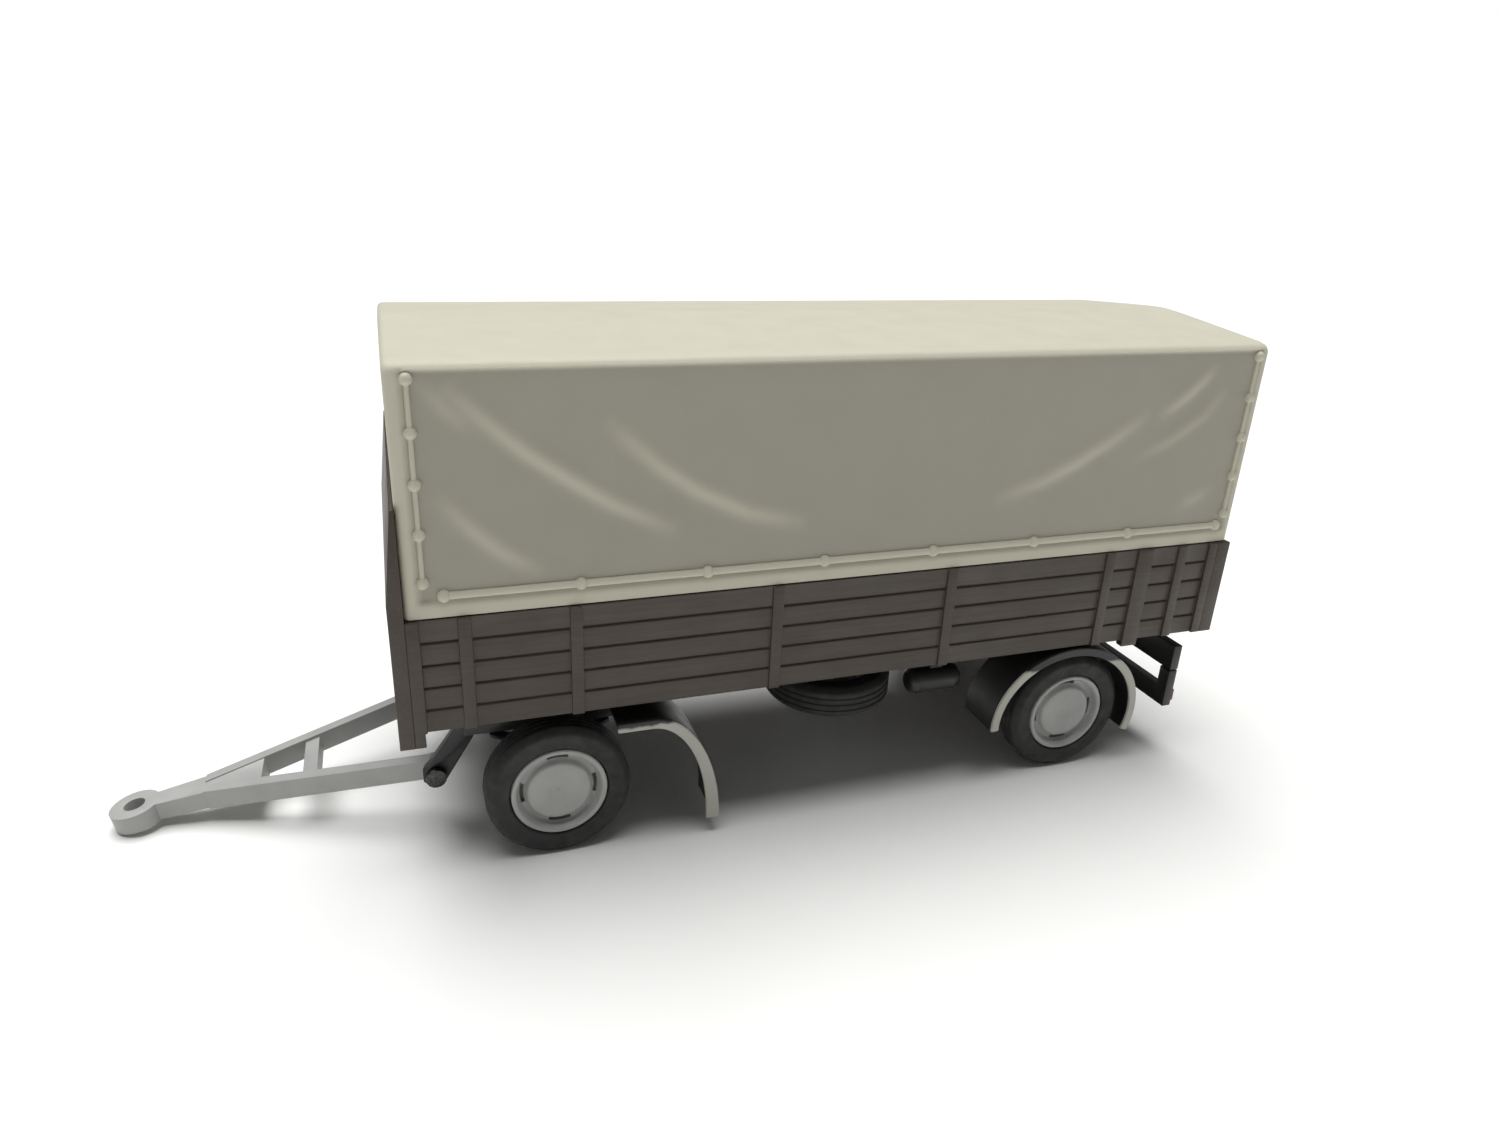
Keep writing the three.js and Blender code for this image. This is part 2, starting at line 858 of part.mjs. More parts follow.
// An outline in x and y given a thickness about z = 0.
function plate(shape, thickness) {
  const settings = { depth: thickness, bevelEnabled: false };
  return new THREE.ExtrudeGeometry(shape, settings).translate(0, 0, -thickness / 2);
}

function drawbarGeometry() {
  const half = armDepth / 2;
  const skew = Math.hypot(1, (armY - neckY) / neckX);
  const halfArm = (armWidth / 2) * skew;
  const arms = sides.map(([, sign]) => {
    const shape = outline([
      [0, sign * (armY - halfArm)],
      [0, sign * (armY + halfArm)],
      [neckX, sign * (neckY + halfArm)],
      [neckX, sign * (neckY - halfArm)],
    ]);
    return plate(shape, armDepth);
  });
  const knuckles = sides.map(([, sign]) =>
    turnedAboutY(
      rodProfile(half + knuckleRise, ...across(sign, armY - armWidth / 2, armY + armWidth / 2)),
      16,
    ),
  );
  const braceY = armMiddle(braceX);
  const brace = box(braceX - braceWidth / 2, braceX + braceWidth / 2, -braceY, braceY, -half * 0.7, half * 0.7);
  const webX = neckX + webLength;
  const neckEdge = [
    [-drawbarReach + eyeRadius / 2, neckHalfWidth],
    [neckX, armMiddle(neckX) + halfArm - edgeGap],
    [webX, armMiddle(webX) + halfArm - edgeGap],
  ];
  const farEdge = neckEdge.map(([x, y]) => [x, -y]).reverse();
  const neck = plate(outline([...neckEdge, ...farEdge]), eyeThickness);
  const eye = turnedAboutZ(rodProfile(eyeRadius, -eyeThickness / 2, eyeThickness / 2), 24);
  eye.translate(-drawbarReach, 0, 0);
  const eyeHole = turnedAboutZ(rodProfile(eyeHoleRadius, -eyeThickness, eyeThickness), 16);
  eyeHole.translate(-drawbarReach, 0, 0);
  const pinHoles = turnedAboutY(rodProfile(hingePinRadius + running, -halfWidth, halfWidth), 16);
  return cut(join(...arms, ...knuckles, brace, neck, eye), eyeHole, pinHoles);
}

const drawbarGroup = new THREE.Group();
drawbarGroup.position.set(hingeX, 0, hingeZ);
drawbarGroup.rotation.y = -droop;
trailer.add(drawbarGroup);
addMesh("drawbar", drawbarGeometry(), finish.grey, drawbarGroup);

// Each hinge pin runs from the arm's inner side to a head outside its lug.
const pinHeadThickness = 0.4;
for (const [side, sign] of sides) {
  const inner = armY - armWidth / 2 - running;
  const headStart = lugInnerY + lugWidth + seat;
  const headEnd = headStart + pinHeadThickness;
  const headRadius = hingePinRadius + 0.35;
  const profile = [
    [0, inner],
    [hingePinRadius, inner],
    [hingePinRadius, headStart],
    [headRadius, headStart],
    [headRadius, headEnd],
    [0, headEnd],
  ].map(([radius, y]) => [radius, sign * y]);
  addMesh(
    "drawbar_pin_" + side,
    turnedAboutY(profile, 16).translate(hingeX, 0, hingeZ),
    finish.steel,
  );
}

// ---- Spare wheel ----
// It lies flat under a carrier bar, its outer face down, on one bolt.
const spareBottom = spareTop - tyreWidth;
const spareBoltRadius = 0.5;
const spareBoltHead = 0.8;
const carrierThickness = 0.6;
const carrierBottom = spareTop + seat;

function spareCarrier() {
  const inner = railY - railWidth / 2;
  const outer = railY + railWidth / 2;
  const bar = box(spareX - 1, spareX + 1, -outer, outer, carrierBottom, carrierBottom + carrierThickness);
  const hangers = sides.map(([, sign]) =>
    box(
      spareX - 0.5,
      spareX + 0.5,
      ...across(sign, inner, outer),
      carrierBottom,
      railBottom - seat,
    ),
  );
  return join(bar, ...hangers);
}
addMesh("spare_carrier", spareCarrier(), finish.black);

const spare = new THREE.Group();
spare.position.set(spareX, spareY, spareBottom);
spare.rotation.x = Math.PI / 2;
trailer.add(spare);
addMesh("spare_tyre", turnedAboutY(tyreProfile()), finish.rubber, spare);
addMesh("spare_rim", rim(spareBoltRadius + seat), finish.grey, spare);

function spareBolt() {
  const headTop = spareBottom + hubDepth - seat;
  const headBottom = spareBottom;
  return turnedAboutZ([
    [0, headBottom],
    [spareBoltHead, headBottom],
    [spareBoltHead, headTop],
    [spareBoltRadius, headTop],
    [spareBoltRadius, carrierBottom - seat],
    [0, carrierBottom - seat],
  ], 12).translate(spareX, spareY, 0);
}
addMesh("spare_bolt", spareBolt(), finish.steel);

// ---- Air tank ----
const tankEnd = 0.35;
function airTank() {
  const half = tankLength / 2;
  const profile = [
    [0, -half],
    [tankRadius - tankEnd, -half],
    [tankRadius, -half + tankEnd],
    [tankRadius, half - tankEnd],
    [tankRadius - tankEnd, half],
    [0, half],
  ];
  return turnedAboutY(profile, 16).rotateZ(Math.PI / 2).translate(tankX, tankY, tankZ);
}
addMesh("air_tank", airTank(), finish.black);

// The tank's bracket reaches out from the rail and down to the tank.
function tankBracket() {
  const railSide = railY + railWidth / 2 + seat;
  const top = railTop;
  const foot = tankZ + tankRadius + seat;
  return box(
    tankX - tankBracketWidth / 2,
    tankX + tankBracketWidth / 2,
    tankY - tankRadius / 2,
    -railSide,
    foot,
    top,
  );
}
addMesh("air_tank_bracket", tankBracket(), finish.black);

// ---- Origin ----
// The group is moved so that x = 0 is the middle of the whole trailer.
const eyeFrontX = hingeX - eyeTip * Math.cos(droop - eyeSlope);
trailer.position.x = -(eyeFrontX + bodyLength) / 2;

export default trailer;
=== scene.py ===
# %% [markdown]
# # A model trailer in 1:87
# The real thing is a small plastic model of a two-axle lorry trailer: a brown plank body, a
# pale tarpaulin cover with moulded ropes, a black chassis with a turntable, grey wheels with
# soft tyres, and an A-shaped drawbar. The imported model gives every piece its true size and
# place. This lesson loads it first and then gives each piece its finished surface around it.

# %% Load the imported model
import json
import math

import bmesh
import bpy
import numpy as np
from mathutils import Matrix, Vector

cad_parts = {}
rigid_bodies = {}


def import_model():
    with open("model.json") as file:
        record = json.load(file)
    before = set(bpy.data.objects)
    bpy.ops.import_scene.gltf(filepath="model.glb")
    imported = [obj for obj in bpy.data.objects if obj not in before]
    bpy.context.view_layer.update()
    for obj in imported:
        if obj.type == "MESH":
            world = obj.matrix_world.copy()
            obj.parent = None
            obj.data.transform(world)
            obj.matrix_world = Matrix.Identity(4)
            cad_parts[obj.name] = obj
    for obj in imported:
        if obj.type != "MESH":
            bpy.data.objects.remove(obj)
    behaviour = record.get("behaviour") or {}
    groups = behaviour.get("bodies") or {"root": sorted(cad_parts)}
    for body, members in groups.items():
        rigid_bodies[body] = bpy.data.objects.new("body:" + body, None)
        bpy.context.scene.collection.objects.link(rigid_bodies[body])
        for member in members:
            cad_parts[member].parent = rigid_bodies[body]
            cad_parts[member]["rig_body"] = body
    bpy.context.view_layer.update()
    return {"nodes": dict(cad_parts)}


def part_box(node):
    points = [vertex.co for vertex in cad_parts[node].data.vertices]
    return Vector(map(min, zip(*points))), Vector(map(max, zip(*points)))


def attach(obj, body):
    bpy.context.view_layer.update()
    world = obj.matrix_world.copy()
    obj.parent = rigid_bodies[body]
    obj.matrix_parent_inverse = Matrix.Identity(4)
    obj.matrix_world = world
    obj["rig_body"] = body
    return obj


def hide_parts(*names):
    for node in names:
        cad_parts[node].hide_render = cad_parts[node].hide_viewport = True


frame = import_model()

MM = 0.001


def box_mm(node):
    """The lowest and highest corner of a node, in millimetres."""
    low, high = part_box(node)
    return np.array(low) / MM, np.array(high) / MM

# %% [markdown]
# ## Camera
# The model stands on a table and is seen from a little above, from its front left. The camera
# is close to it, so the near corner looms: that wants a wide lens rather than a long one. It is
# made first, so that each look at the work is taken from the same place.

# %% Camera
CAMERA_PLACE = Vector((-22.70, -78.77, 51.96)) * MM
CAMERA_HEADING = 20.1  # degrees, from +Y towards +X
CAMERA_PITCH = 22.1  # degrees below the horizon
CAMERA_ROLL = 2.66  # degrees
CAMERA_LENS = 24.33  # mm, on the default sensor of 36 mm


def look_direction(heading, pitch):
    """The direction of a look along a heading, so many degrees below the horizon."""
    level = math.cos(math.radians(pitch))
    x = math.sin(math.radians(heading)) * level
    y = math.cos(math.radians(heading)) * level
    return Vector((x, y, -math.sin(math.radians(pitch))))


def make_camera():
    data = bpy.data.cameras.new("camera")
    data.lens = CAMERA_LENS
    data.clip_start = 1 * MM
    camera = bpy.data.objects.new("camera", data)
    bpy.context.scene.collection.objects.link(camera)
    look = look_direction(CAMERA_HEADING, CAMERA_PITCH)
    aim = look.to_track_quat("-Z", "Y").to_matrix().to_4x4()
    roll = Matrix.Rotation(math.radians(CAMERA_ROLL), 4, "Z")
    camera.matrix_world = Matrix.Translation(CAMERA_PLACE) @ aim @ roll
    bpy.context.scene.camera = camera
    return camera


camera = make_camera()
print("camera at", [round(v / MM, 1) for v in camera.location])

# %% [markdown]
# ## Tools for materials
# A shader is a small graph. One function adds a node, sets its values and joins it to what
# feeds it, and another turns the colours that people write, as on a web page, into the linear
# values that light is reckoned in.

# %% Colours and nodes
FIRST_COLOUR, SECOND_COLOUR, MIXED_COLOUR = 6, 7, 2  # sockets of a Mix node that mixes colours


def linear_channel(value):
    return value / 12.92 if value <= 0.04045 else ((value + 0.055) / 1.055) ** 2.4


def linear(code):
    """An sRGB hex colour as linear RGBA."""
    channels = [int(code[i : i + 2], 16) / 255 for i in (1, 3, 5)]
    return [linear_channel(value) for value in channels] + [1]


def add_node(tree, kind, values=None, links=None):
    """Adds a node: values go to its sockets or settings, links join sockets to outputs."""
    node = tree.nodes.new(kind)
    for name, value in (values or {}).items():
        if isinstance(name, int) or name in node.inputs:
            node.inputs[name].default_value = value
        else:
            setattr(node, name, value)
    for name, source in (links or {}).items():
        tree.links.new(source, node.inputs[name])
    return node


def per_mm(size):
    """The noise scale at which a pattern on object coordinates repeats every so many mm."""
    return 1 / (size * MM)


def start_material(name, values):
    """A material whose shader has these values, and its graph."""
    material = bpy.data.materials.new(name)
    material.use_nodes = True
    tree = material.node_tree
    shader = tree.nodes["Principled BSDF"]
    for socket, value in values.items():
        shader.inputs[socket].default_value = value
    place = add_node(tree, "ShaderNodeTexCoord").outputs["Object"]
    return material, tree, shader, place


def noise(tree, place, size, detail=3, roughness=0.55):
    """Noise with features of about this size in mm."""
    values = {"Scale": per_mm(size), "Detail": detail, "Roughness": roughness}
    return add_node(tree, "ShaderNodeTexNoise", values, {"Vector": place}).outputs["Fac"]


def two_tone(tree, shader, pattern, dark, light, low=0.35, high=0.65):
    """Colours the shader from dark to light as the pattern rises from low to high."""
    values = {"From Min": low, "From Max": high}
    share = add_node(tree, "ShaderNodeMapRange", values, {"Value": pattern})
    mix = add_node(tree, "ShaderNodeMix", {"data_type": "RGBA"})
    for socket, code in ((FIRST_COLOUR, dark), (SECOND_COLOUR, light)):
        mix.inputs[socket].default_value = linear(code)
    tree.links.new(share.outputs["Result"], mix.inputs[0])
    tree.links.new(mix.outputs[MIXED_COLOUR], shader.inputs["Base Color"])


def gloss_between(tree, shader, pattern, low, high):
    """Roughness that wanders between two values with the pattern."""
    values = {"From Min": 0.3, "From Max": 0.7, "To Min": low, "To Max": high}
    share = add_node(tree, "ShaderNodeMapRange", values, {"Value": pattern})
    tree.links.new(share.outputs["Result"], shader.inputs["Roughness"])


def bump(tree, shader, pattern, depth, strength):
    """Bump of a depth in mm."""
    values = {"Distance": depth * MM, "Strength": strength}
    node = add_node(tree, "ShaderNodeBump", values, {"Height": pattern})
    tree.links.new(node.outputs["Normal"], shader.inputs["Normal"])


print("red #ff0000 is", linear("#ff0000"), "as linear colour")

# %% [markdown]
# ## Moulded polystyrene
# Almost the whole model is injection-moulded polystyrene, coloured all through. What the eye
# sees is a satin skin: a soft highlight, cloudy gloss where the plastic cooled unevenly, and a
# grain of a few hundredths of a millimetre left by the mould. The grain is drawn a little
# coarser than it would be, or it would vanish at this size.

# %% Plain moulded plastics
POLYSTYRENE_IOR = 1.55


def polystyrene(name, dark, light, rough_low, rough_high):
    """Plastic with faint clouds 4 mm across, uneven gloss and the mould's fine grain."""
    material, tree, shader, place = start_material(name, {"IOR": POLYSTYRENE_IOR})
    clouds = noise(tree, place, 4)
    two_tone(tree, shader, clouds, dark, light)
    gloss_between(tree, shader, noise(tree, place, 1.6), rough_low, rough_high)
    grain = noise(tree, place, 0.22, 4)
    bump(tree, shader, grain, 0.02, 0.35)
    return material


black_polystyrene = polystyrene("black_polystyrene", "#1a1b1a", "#232423", 0.38, 0.5)
grey_polystyrene = polystyrene("grey_polystyrene", "#a0a19f", "#aaaaa7", 0.4, 0.52)
wheel_polystyrene = polystyrene("wheel_grey_polystyrene", "#a2a3a1", "#b0b0ad", 0.36, 0.5)
print("plain plastics", black_polystyrene.name, grey_polystyrene.name, wheel_polystyrene.name)

# %% [markdown]
# The one painted thing is the edge of the fenders. It is drawn as a pale lacquer up to a height;
# above it, where the edge tucks under the body, it is painted black as the body's shade. A little
# noise is added to the height, so that the lacquer ends unevenly.

# %% Fender edge lacquer
# Above this height the edge is black: painted shade where the body hangs over it.
SHADE_LINE_HEIGHT = 11.0  # height in mm
SHADE_LINE_FADE = 0.25  # over this height it fades out
SHADE_LINE_WOBBLE = 0.5  # how far noise can lower its end


def lacquer_with_painted_shade():
    """Grey lacquer up to a height, and black above it as painted shade under the body."""
    material, tree, shader, place = start_material("fender_edge_lacquer_painted_shade", {"IOR": 1.5})
    height = add_node(tree, "ShaderNodeSeparateXYZ", None, {"Vector": place}).outputs["Z"]
    wobble = noise(tree, place, 0.8)
    spread = {"operation": "MULTIPLY_ADD", 1: SHADE_LINE_WOBBLE * MM}
    edge = add_node(tree, "ShaderNodeMath", spread, {0: wobble, 2: height}).outputs[0]
    low, high = SHADE_LINE_HEIGHT * MM, (SHADE_LINE_HEIGHT + SHADE_LINE_FADE) * MM
    # pale lacquer below the line, black above it as painted shade
    two_tone(tree, shader, edge, "#b4b3aa", "#1e1f1e", low, high)
    gloss_between(tree, shader, noise(tree, place, 1.6), 0.32, 0.44)
    return material


edge_lacquer_and_painted_shade = lacquer_with_painted_shade()
print("lacquer ends at", SHADE_LINE_HEIGHT, "mm")

# %% [markdown]
# The cover is the same plastic in a warm grey. Inside the hems of the two side panels it is
# painted a shade deeper, as shade; the hems, ropes and fold crests stay light, as painted
# highlight. An attribute on the mesh says where. The mould has a fine cloth-like tooth, so the
# light breaks up on it.

# %% Cover plastic


def cover_plastic():
    """Warm grey plastic that the panel attribute deepens as painted shade, with the mould's tooth
    as bump.
    """
    material, tree, shader, place = start_material(
        "cover_beige_polystyrene", {"IOR": POLYSTYRENE_IOR, "Specular IOR Level": 0.4}
    )
    # The panel attribute is painted shade: deeper inside the side panels, light on hems and fold
    # crests.
    panel = add_node(tree, "ShaderNodeAttribute", {"attribute_name": "panel"}).outputs["Fac"]
    clouds = noise(tree, place, 3, 4)
    blend = {"operation": "MULTIPLY_ADD", 1: 0.12}
    clouds_and_painted_shade = add_node(tree, "ShaderNodeMath", blend, {0: clouds, 2: panel}).outputs[0]
    two_tone(tree, shader, clouds_and_painted_shade, "#c9c5b3", "#a09d8f", 0.0, 1.1)
    gloss_between(tree, shader, noise(tree, place, 2.5), 0.5, 0.64)
    tooth = noise(tree, place, 0.3, 5, 0.65)
    bump(tree, shader, tooth, 0.03, 0.4)
    return material


cover_polystyrene = cover_plastic()
print("cover plastic", cover_polystyrene.name)

# %% [markdown]
# The planks are brown plastic with a wood grain cut into the mould. Grain is noise that is
# stretched far along the plank: short across, long down its length. The side boards run along
# X and the end boards along Y, so the same graph is made twice with the stretch turned.

# %% Plank plastic
GRAIN_ACROSS = 0.32  # mm
GRAIN_ALONG = 7


def plank_plastic(name, long_axis):
    """Brown plastic with a grain that runs along one axis, in its colour and its bump."""
    material, tree, shader, place = start_material(name, {"IOR": POLYSTYRENE_IOR})
    stretch = [per_mm(GRAIN_ACROSS)] * 3
    stretch[long_axis] = per_mm(GRAIN_ALONG)
    mapping = add_node(tree, "ShaderNodeMapping", {"Scale": stretch}, {"Vector": place})
    values = {"Scale": 1, "Detail": 5, "Roughness": 0.6, "Distortion": 0.4}
    grain = add_node(tree, "ShaderNodeTexNoise", values, {"Vector": mapping.outputs["Vector"]})
    two_tone(tree, shader, grain.outputs["Fac"], "#352c23", "#453a2e", 0.25, 0.75)
    gloss_between(tree, shader, noise(tree, place, 3), 0.4, 0.54)
    bump(tree, shader, grain.outputs["Fac"], 0.06, 0.5)
    return material


side_planks = plank_plastic("brown_polystyrene_grain_lengthwise", 0)
end_planks = plank_plastic("brown_polystyrene_grain_crosswise", 1)
print("plank plastics", side_planks.name, end_planks.name)

# %% [markdown]
# The tyres are soft vinyl: darker and duller than the hard plastic, with a dusty bloom. The
# axles and pins are blackened steel wire, and the tail lamps are glossy red plastic.

# %% Tyre, steel and lamp


def tyre_vinyl():
    material, tree, shader, place = start_material("tyre_soft_vinyl", {"IOR": 1.53})
    two_tone(tree, shader, noise(tree, place, 1.2, 5), "#1f201f", "#2e2f2d")
    gloss_between(tree, shader, noise(tree, place, 0.8), 0.6, 0.78)
    bump(tree, shader, noise(tree, place, 0.18, 5), 0.03, 0.5)
    return material


def blackened_steel():
    """Drawn wire: fine lines along Y, the way that the axles lie."""
    material, tree, shader, place = start_material("blackened_steel_wire", {"Metallic": 1})
    stretch = [per_mm(0.12), per_mm(5), per_mm(0.12)]
    mapping = add_node(tree, "ShaderNodeMapping", {"Scale": stretch}, {"Vector": place})
    along_wire = {"Vector": mapping.outputs["Vector"]}
    drawn = add_node(tree, "ShaderNodeTexNoise", {"Scale": 1}, along_wire)
    two_tone(tree, shader, drawn.outputs["Fac"], "#3b3b3a", "#5a5a58")
    gloss_between(tree, shader, drawn.outputs["Fac"], 0.3, 0.45)
    return material


def lamp_plastic():
    material, tree, shader, place = start_material("lamp_red_polystyrene", {"IOR": POLYSTYRENE_IOR})
    two_tone(tree, shader, noise(tree, place, 0.6), "#6f1712", "#8a2119")
    gloss_between(tree, shader, noise(tree, place, 0.5), 0.15, 0.25)
    return material


vinyl = tyre_vinyl()
steel = blackened_steel()
lamp_red = lamp_plastic()
print("small materials", vinyl.name, steel.name, lamp_red.name)

# %% [markdown]
# ## Tools for meshes
# Each finished piece is a mesh laid out in place, in metres, on an object at the origin. One
# function puts such a mesh in the scene: it gives it its material, lets it ride on its body and
# hides the plain node it stands for.

# %% Finished pieces


def place_piece(name, mesh, material, node):
    """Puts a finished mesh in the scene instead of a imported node, on the node's own body."""
    mesh.materials.clear()
    mesh.materials.append(material)
    piece = bpy.data.objects.new(name, mesh)
    bpy.context.scene.collection.objects.link(piece)
    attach(piece, frame["nodes"][node]["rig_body"])
    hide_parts(node)
    return piece


def smooth_by_angle(mesh, degrees=32):
    """Smooth shading that keeps edges sharper than this angle."""
    mesh.polygons.foreach_set("use_smooth", [True] * len(mesh.polygons))
    mesh.set_sharp_from_angle(angle=math.radians(degrees))


WELD = 1e-4  # points nearer than this, in mm, are one


def mesh_from(name, points, faces):
    """A mesh from points in millimetres, with its faces turned outwards."""
    mesh = bpy.data.meshes.new(name)
    mesh.from_pydata([Vector(p) * MM for p in points], [], faces)
    work = bmesh.new()
    work.from_mesh(mesh)
    bmesh.ops.remove_doubles(work, verts=work.verts, dist=WELD * MM)
    bmesh.ops.recalc_face_normals(work, faces=work.faces)
    work.to_mesh(mesh)
    work.free()
    return mesh


def joined(name, meshes):
    """Several meshes as one."""
    work = bmesh.new()
    for mesh in meshes:
        work.from_mesh(mesh)
    whole = bpy.data.meshes.new(name)
    work.to_mesh(whole)
    work.free()
    return whole

# %% [markdown]
# ## Soft edges on moulded pieces
# No moulded edge is knife-sharp: the mould has a small radius, and that radius is what draws
# the bright line along every edge. The plain pieces keep their shape, so a copy of each is
# cleaned of its loose triangles, its flat faces are merged, and its sharp edges are rounded.

# %% Rounded copies
SHARP_ANGLE = 28  # degrees between faces above which an edge counts as sharp
LOOSE_WELD = 2e-3  # mm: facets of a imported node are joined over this
FIXED_GAP = 0.1  # between neighbours that don't move
FACE_REACH = 0.06  # points this near to a board's inner face belong to it
BOARD_EDGE = 0.05  # radius of a board's edges


def rounded_mesh(node, radius):
    """A copy of a node's mesh with its sharp edges rounded by a radius in mm."""
    work = bmesh.new()
    work.from_mesh(frame["nodes"][node].data)
    bmesh.ops.remove_doubles(work, verts=work.verts, dist=LOOSE_WELD * MM)
    bmesh.ops.dissolve_limit(
        work, angle_limit=math.radians(1), verts=work.verts, edges=work.edges
    )
    sharp = [
        edge
        for edge in work.edges
        if len(edge.link_faces) == 2 and edge.calc_face_angle() > math.radians(SHARP_ANGLE)
    ]
    bmesh.ops.bevel(
        work,
        geom=sharp,
        offset=radius * MM,
        segments=2,
        profile=0.5,
        affect="EDGES",
        clamp_overlap=True,
    )
    mesh = bpy.data.meshes.new(node + "_rounded")
    work.to_mesh(mesh)
    work.free()
    smooth_by_angle(mesh)
    return mesh


def round_nodes(nodes, radius, material, slot):
    for node in nodes:
        place_piece(node + "_moulded", rounded_mesh(node, radius), material, node)
    print(slot, len(nodes), "pieces with edges of", radius, "mm")


def close_seam(node, material, towards):
    """An end board pressed up to the body: its inner face is moved over the assembly gap."""
    mesh = rounded_mesh(node, BOARD_EDGE)
    low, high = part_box(node)
    face = high.x if towards > 0 else low.x
    for vertex in mesh.vertices:
        if abs(vertex.co.x - face) < FACE_REACH * MM:
            vertex.co.x += towards * FIXED_GAP * MM
    place_piece(node + "_moulded", mesh, material, node)


def both(stem):
    return [stem + "_left", stem + "_right"]


round_nodes(both("side_board") + ["load_bed"], BOARD_EDGE, side_planks, "brown_plastic")
close_seam("headboard", end_planks, 1)
close_seam("tailboard", end_planks, -1)
chassis = both("frame_rail") + [f"cross_member_{i + 1}" for i in range(6)]
chassis += ["front_bolster", "spare_carrier", "rear_beam", "rear_guard", "air_tank_bracket"]
chassis += ["bogie_frame"] + both("front_axle_block") + both("rear_axle_block")
chassis += both("front_spring") + both("rear_spring")
chassis += ["turntable_ring_upper", "turntable_ring_lower"]
round_nodes(chassis, 0.06, black_polystyrene, "black_plastic")
round_nodes(["drawbar"], 0.12, grey_polystyrene, "grey_plastic")
pins = both("drawbar_pin") + ["king_pin", "spare_bolt", "front_axle", "rear_axle"]
round_nodes(pins, 0.04, steel, "pin_steel")
round_nodes(both("rear_lamp"), 0.08, lamp_red, "lamp_plastic")

# %% [markdown]
# ## Round pieces
# A tyre, a rim and an air tank are all a profile turned about a line, as on a lathe. The
# profile's corners are cut off once or twice, which is a quick way to get a fair curve out of
# a few points, and the turning takes enough steps that no flat shows.

# %% Turning


def cut_corners(profile, rounds, share=0.25):
    """A closed profile with its corners cut off a number of times, so that it runs smoothly."""
    for _ in range(rounds):
        finer = []
        for (r0, y0), (r1, y1) in zip(profile, profile[1:] + profile[:1]):
            finer.append((r0 + (r1 - r0) * share, y0 + (y1 - y0) * share))
            finer.append((r1 - (r1 - r0) * share, y1 - (y1 - y0) * share))
        profile = finer
    return profile


def turned_points(profile, steps):
    """Points of a closed profile of (radius, y) turned about the Y axis, and the faces."""
    points = []
    for step in range(steps):
        angle = 2 * math.pi * step / steps
        points += [(r * math.sin(angle), y, r * math.cos(angle)) for r, y in profile]
    count = len(profile)
    faces = []
    for step in range(steps):
        here = step * count
        there = (step + 1) % steps * count
        for i in range(count):
            j = (i + 1) % count
            faces.append((here + i, here + j, there + j, there + i))
    return points, faces


def turned_mesh(name, profile, steps):
    """A turned mesh about the Y axis through the origin, its profile's y = 0 side outwards."""
    points, faces = turned_points(profile, steps)
    return mesh_from(name, points, faces)


def stand_wheel(mesh, node):
    """Moves a wheel part, made with its outer face at y = 0 and its inside at +y, to a node."""
    low, high = box_mm(node)
    middle = (low + high) / 2
    if node.startswith("spare"):
        turn = Matrix.Rotation(math.pi / 2, 4, "X")
        place = Vector((middle[0], middle[1], box_mm("spare_tyre")[0][2]))
    elif node.endswith("left"):
        turn = Matrix.Identity(4)
        place = Vector((middle[0], box_mm(tyre_of(node))[0][1], middle[2]))
    else:
        turn = Matrix.Rotation(math.pi, 4, "Z")
        place = Vector((middle[0], box_mm(tyre_of(node))[1][1], middle[2]))
    mesh.transform(Matrix.Translation(place * MM) @ turn)
    return mesh


def tyre_of(node):
    """The tyre that a rim or a tyre belongs to."""
    return node.replace("rim", "tyre")


def wheel_nodes(part):
    """The tyres or the rims of the four wheels and the spare."""
    corners = [(axle, side) for axle in ("front", "rear") for side in ("left", "right")]
    return [f"{axle}_{part}_{side}" for axle, side in corners] + ["spare_" + part]


print("wheel parts", wheel_nodes("tyre") + wheel_nodes("rim"))

# %% [markdown]
# ## Geometry Nodes: a rope with knobs
# The cover's ropes all look alike: a round cord from one point to another, with a knob every
# so often. One small tree lays them. Its inputs are the ends, the number of knobs and the two
# radii; it ends in Realize Instances and Set Material, and is then taken as a plain mesh.

# %% Rope tree


def new_tree(name, inputs):
    """An empty geometry tree with named inputs, and its input and output nodes."""
    tree = bpy.data.node_groups.new(name, "GeometryNodeTree")
    for label, kind in inputs.items():
        tree.interface.new_socket(label, in_out="INPUT", socket_type=kind)
    tree.interface.new_socket("Geometry", in_out="OUTPUT", socket_type="NodeSocketGeometry")
    return tree, tree.nodes.new("NodeGroupInput"), tree.nodes.new("NodeGroupOutput")


def finish_tree(tree, outlet, geometry, material):
    """Makes the instances real, dresses them and sends them to the output."""
    real = add_node(tree, "GeometryNodeRealizeInstances", None, {"Geometry": geometry})
    links = {"Geometry": real.outputs[0], "Material": material}
    dressed = add_node(tree, "GeometryNodeSetMaterial", None, links)
    tree.links.new(dressed.outputs[0], outlet.inputs[0])
    return tree


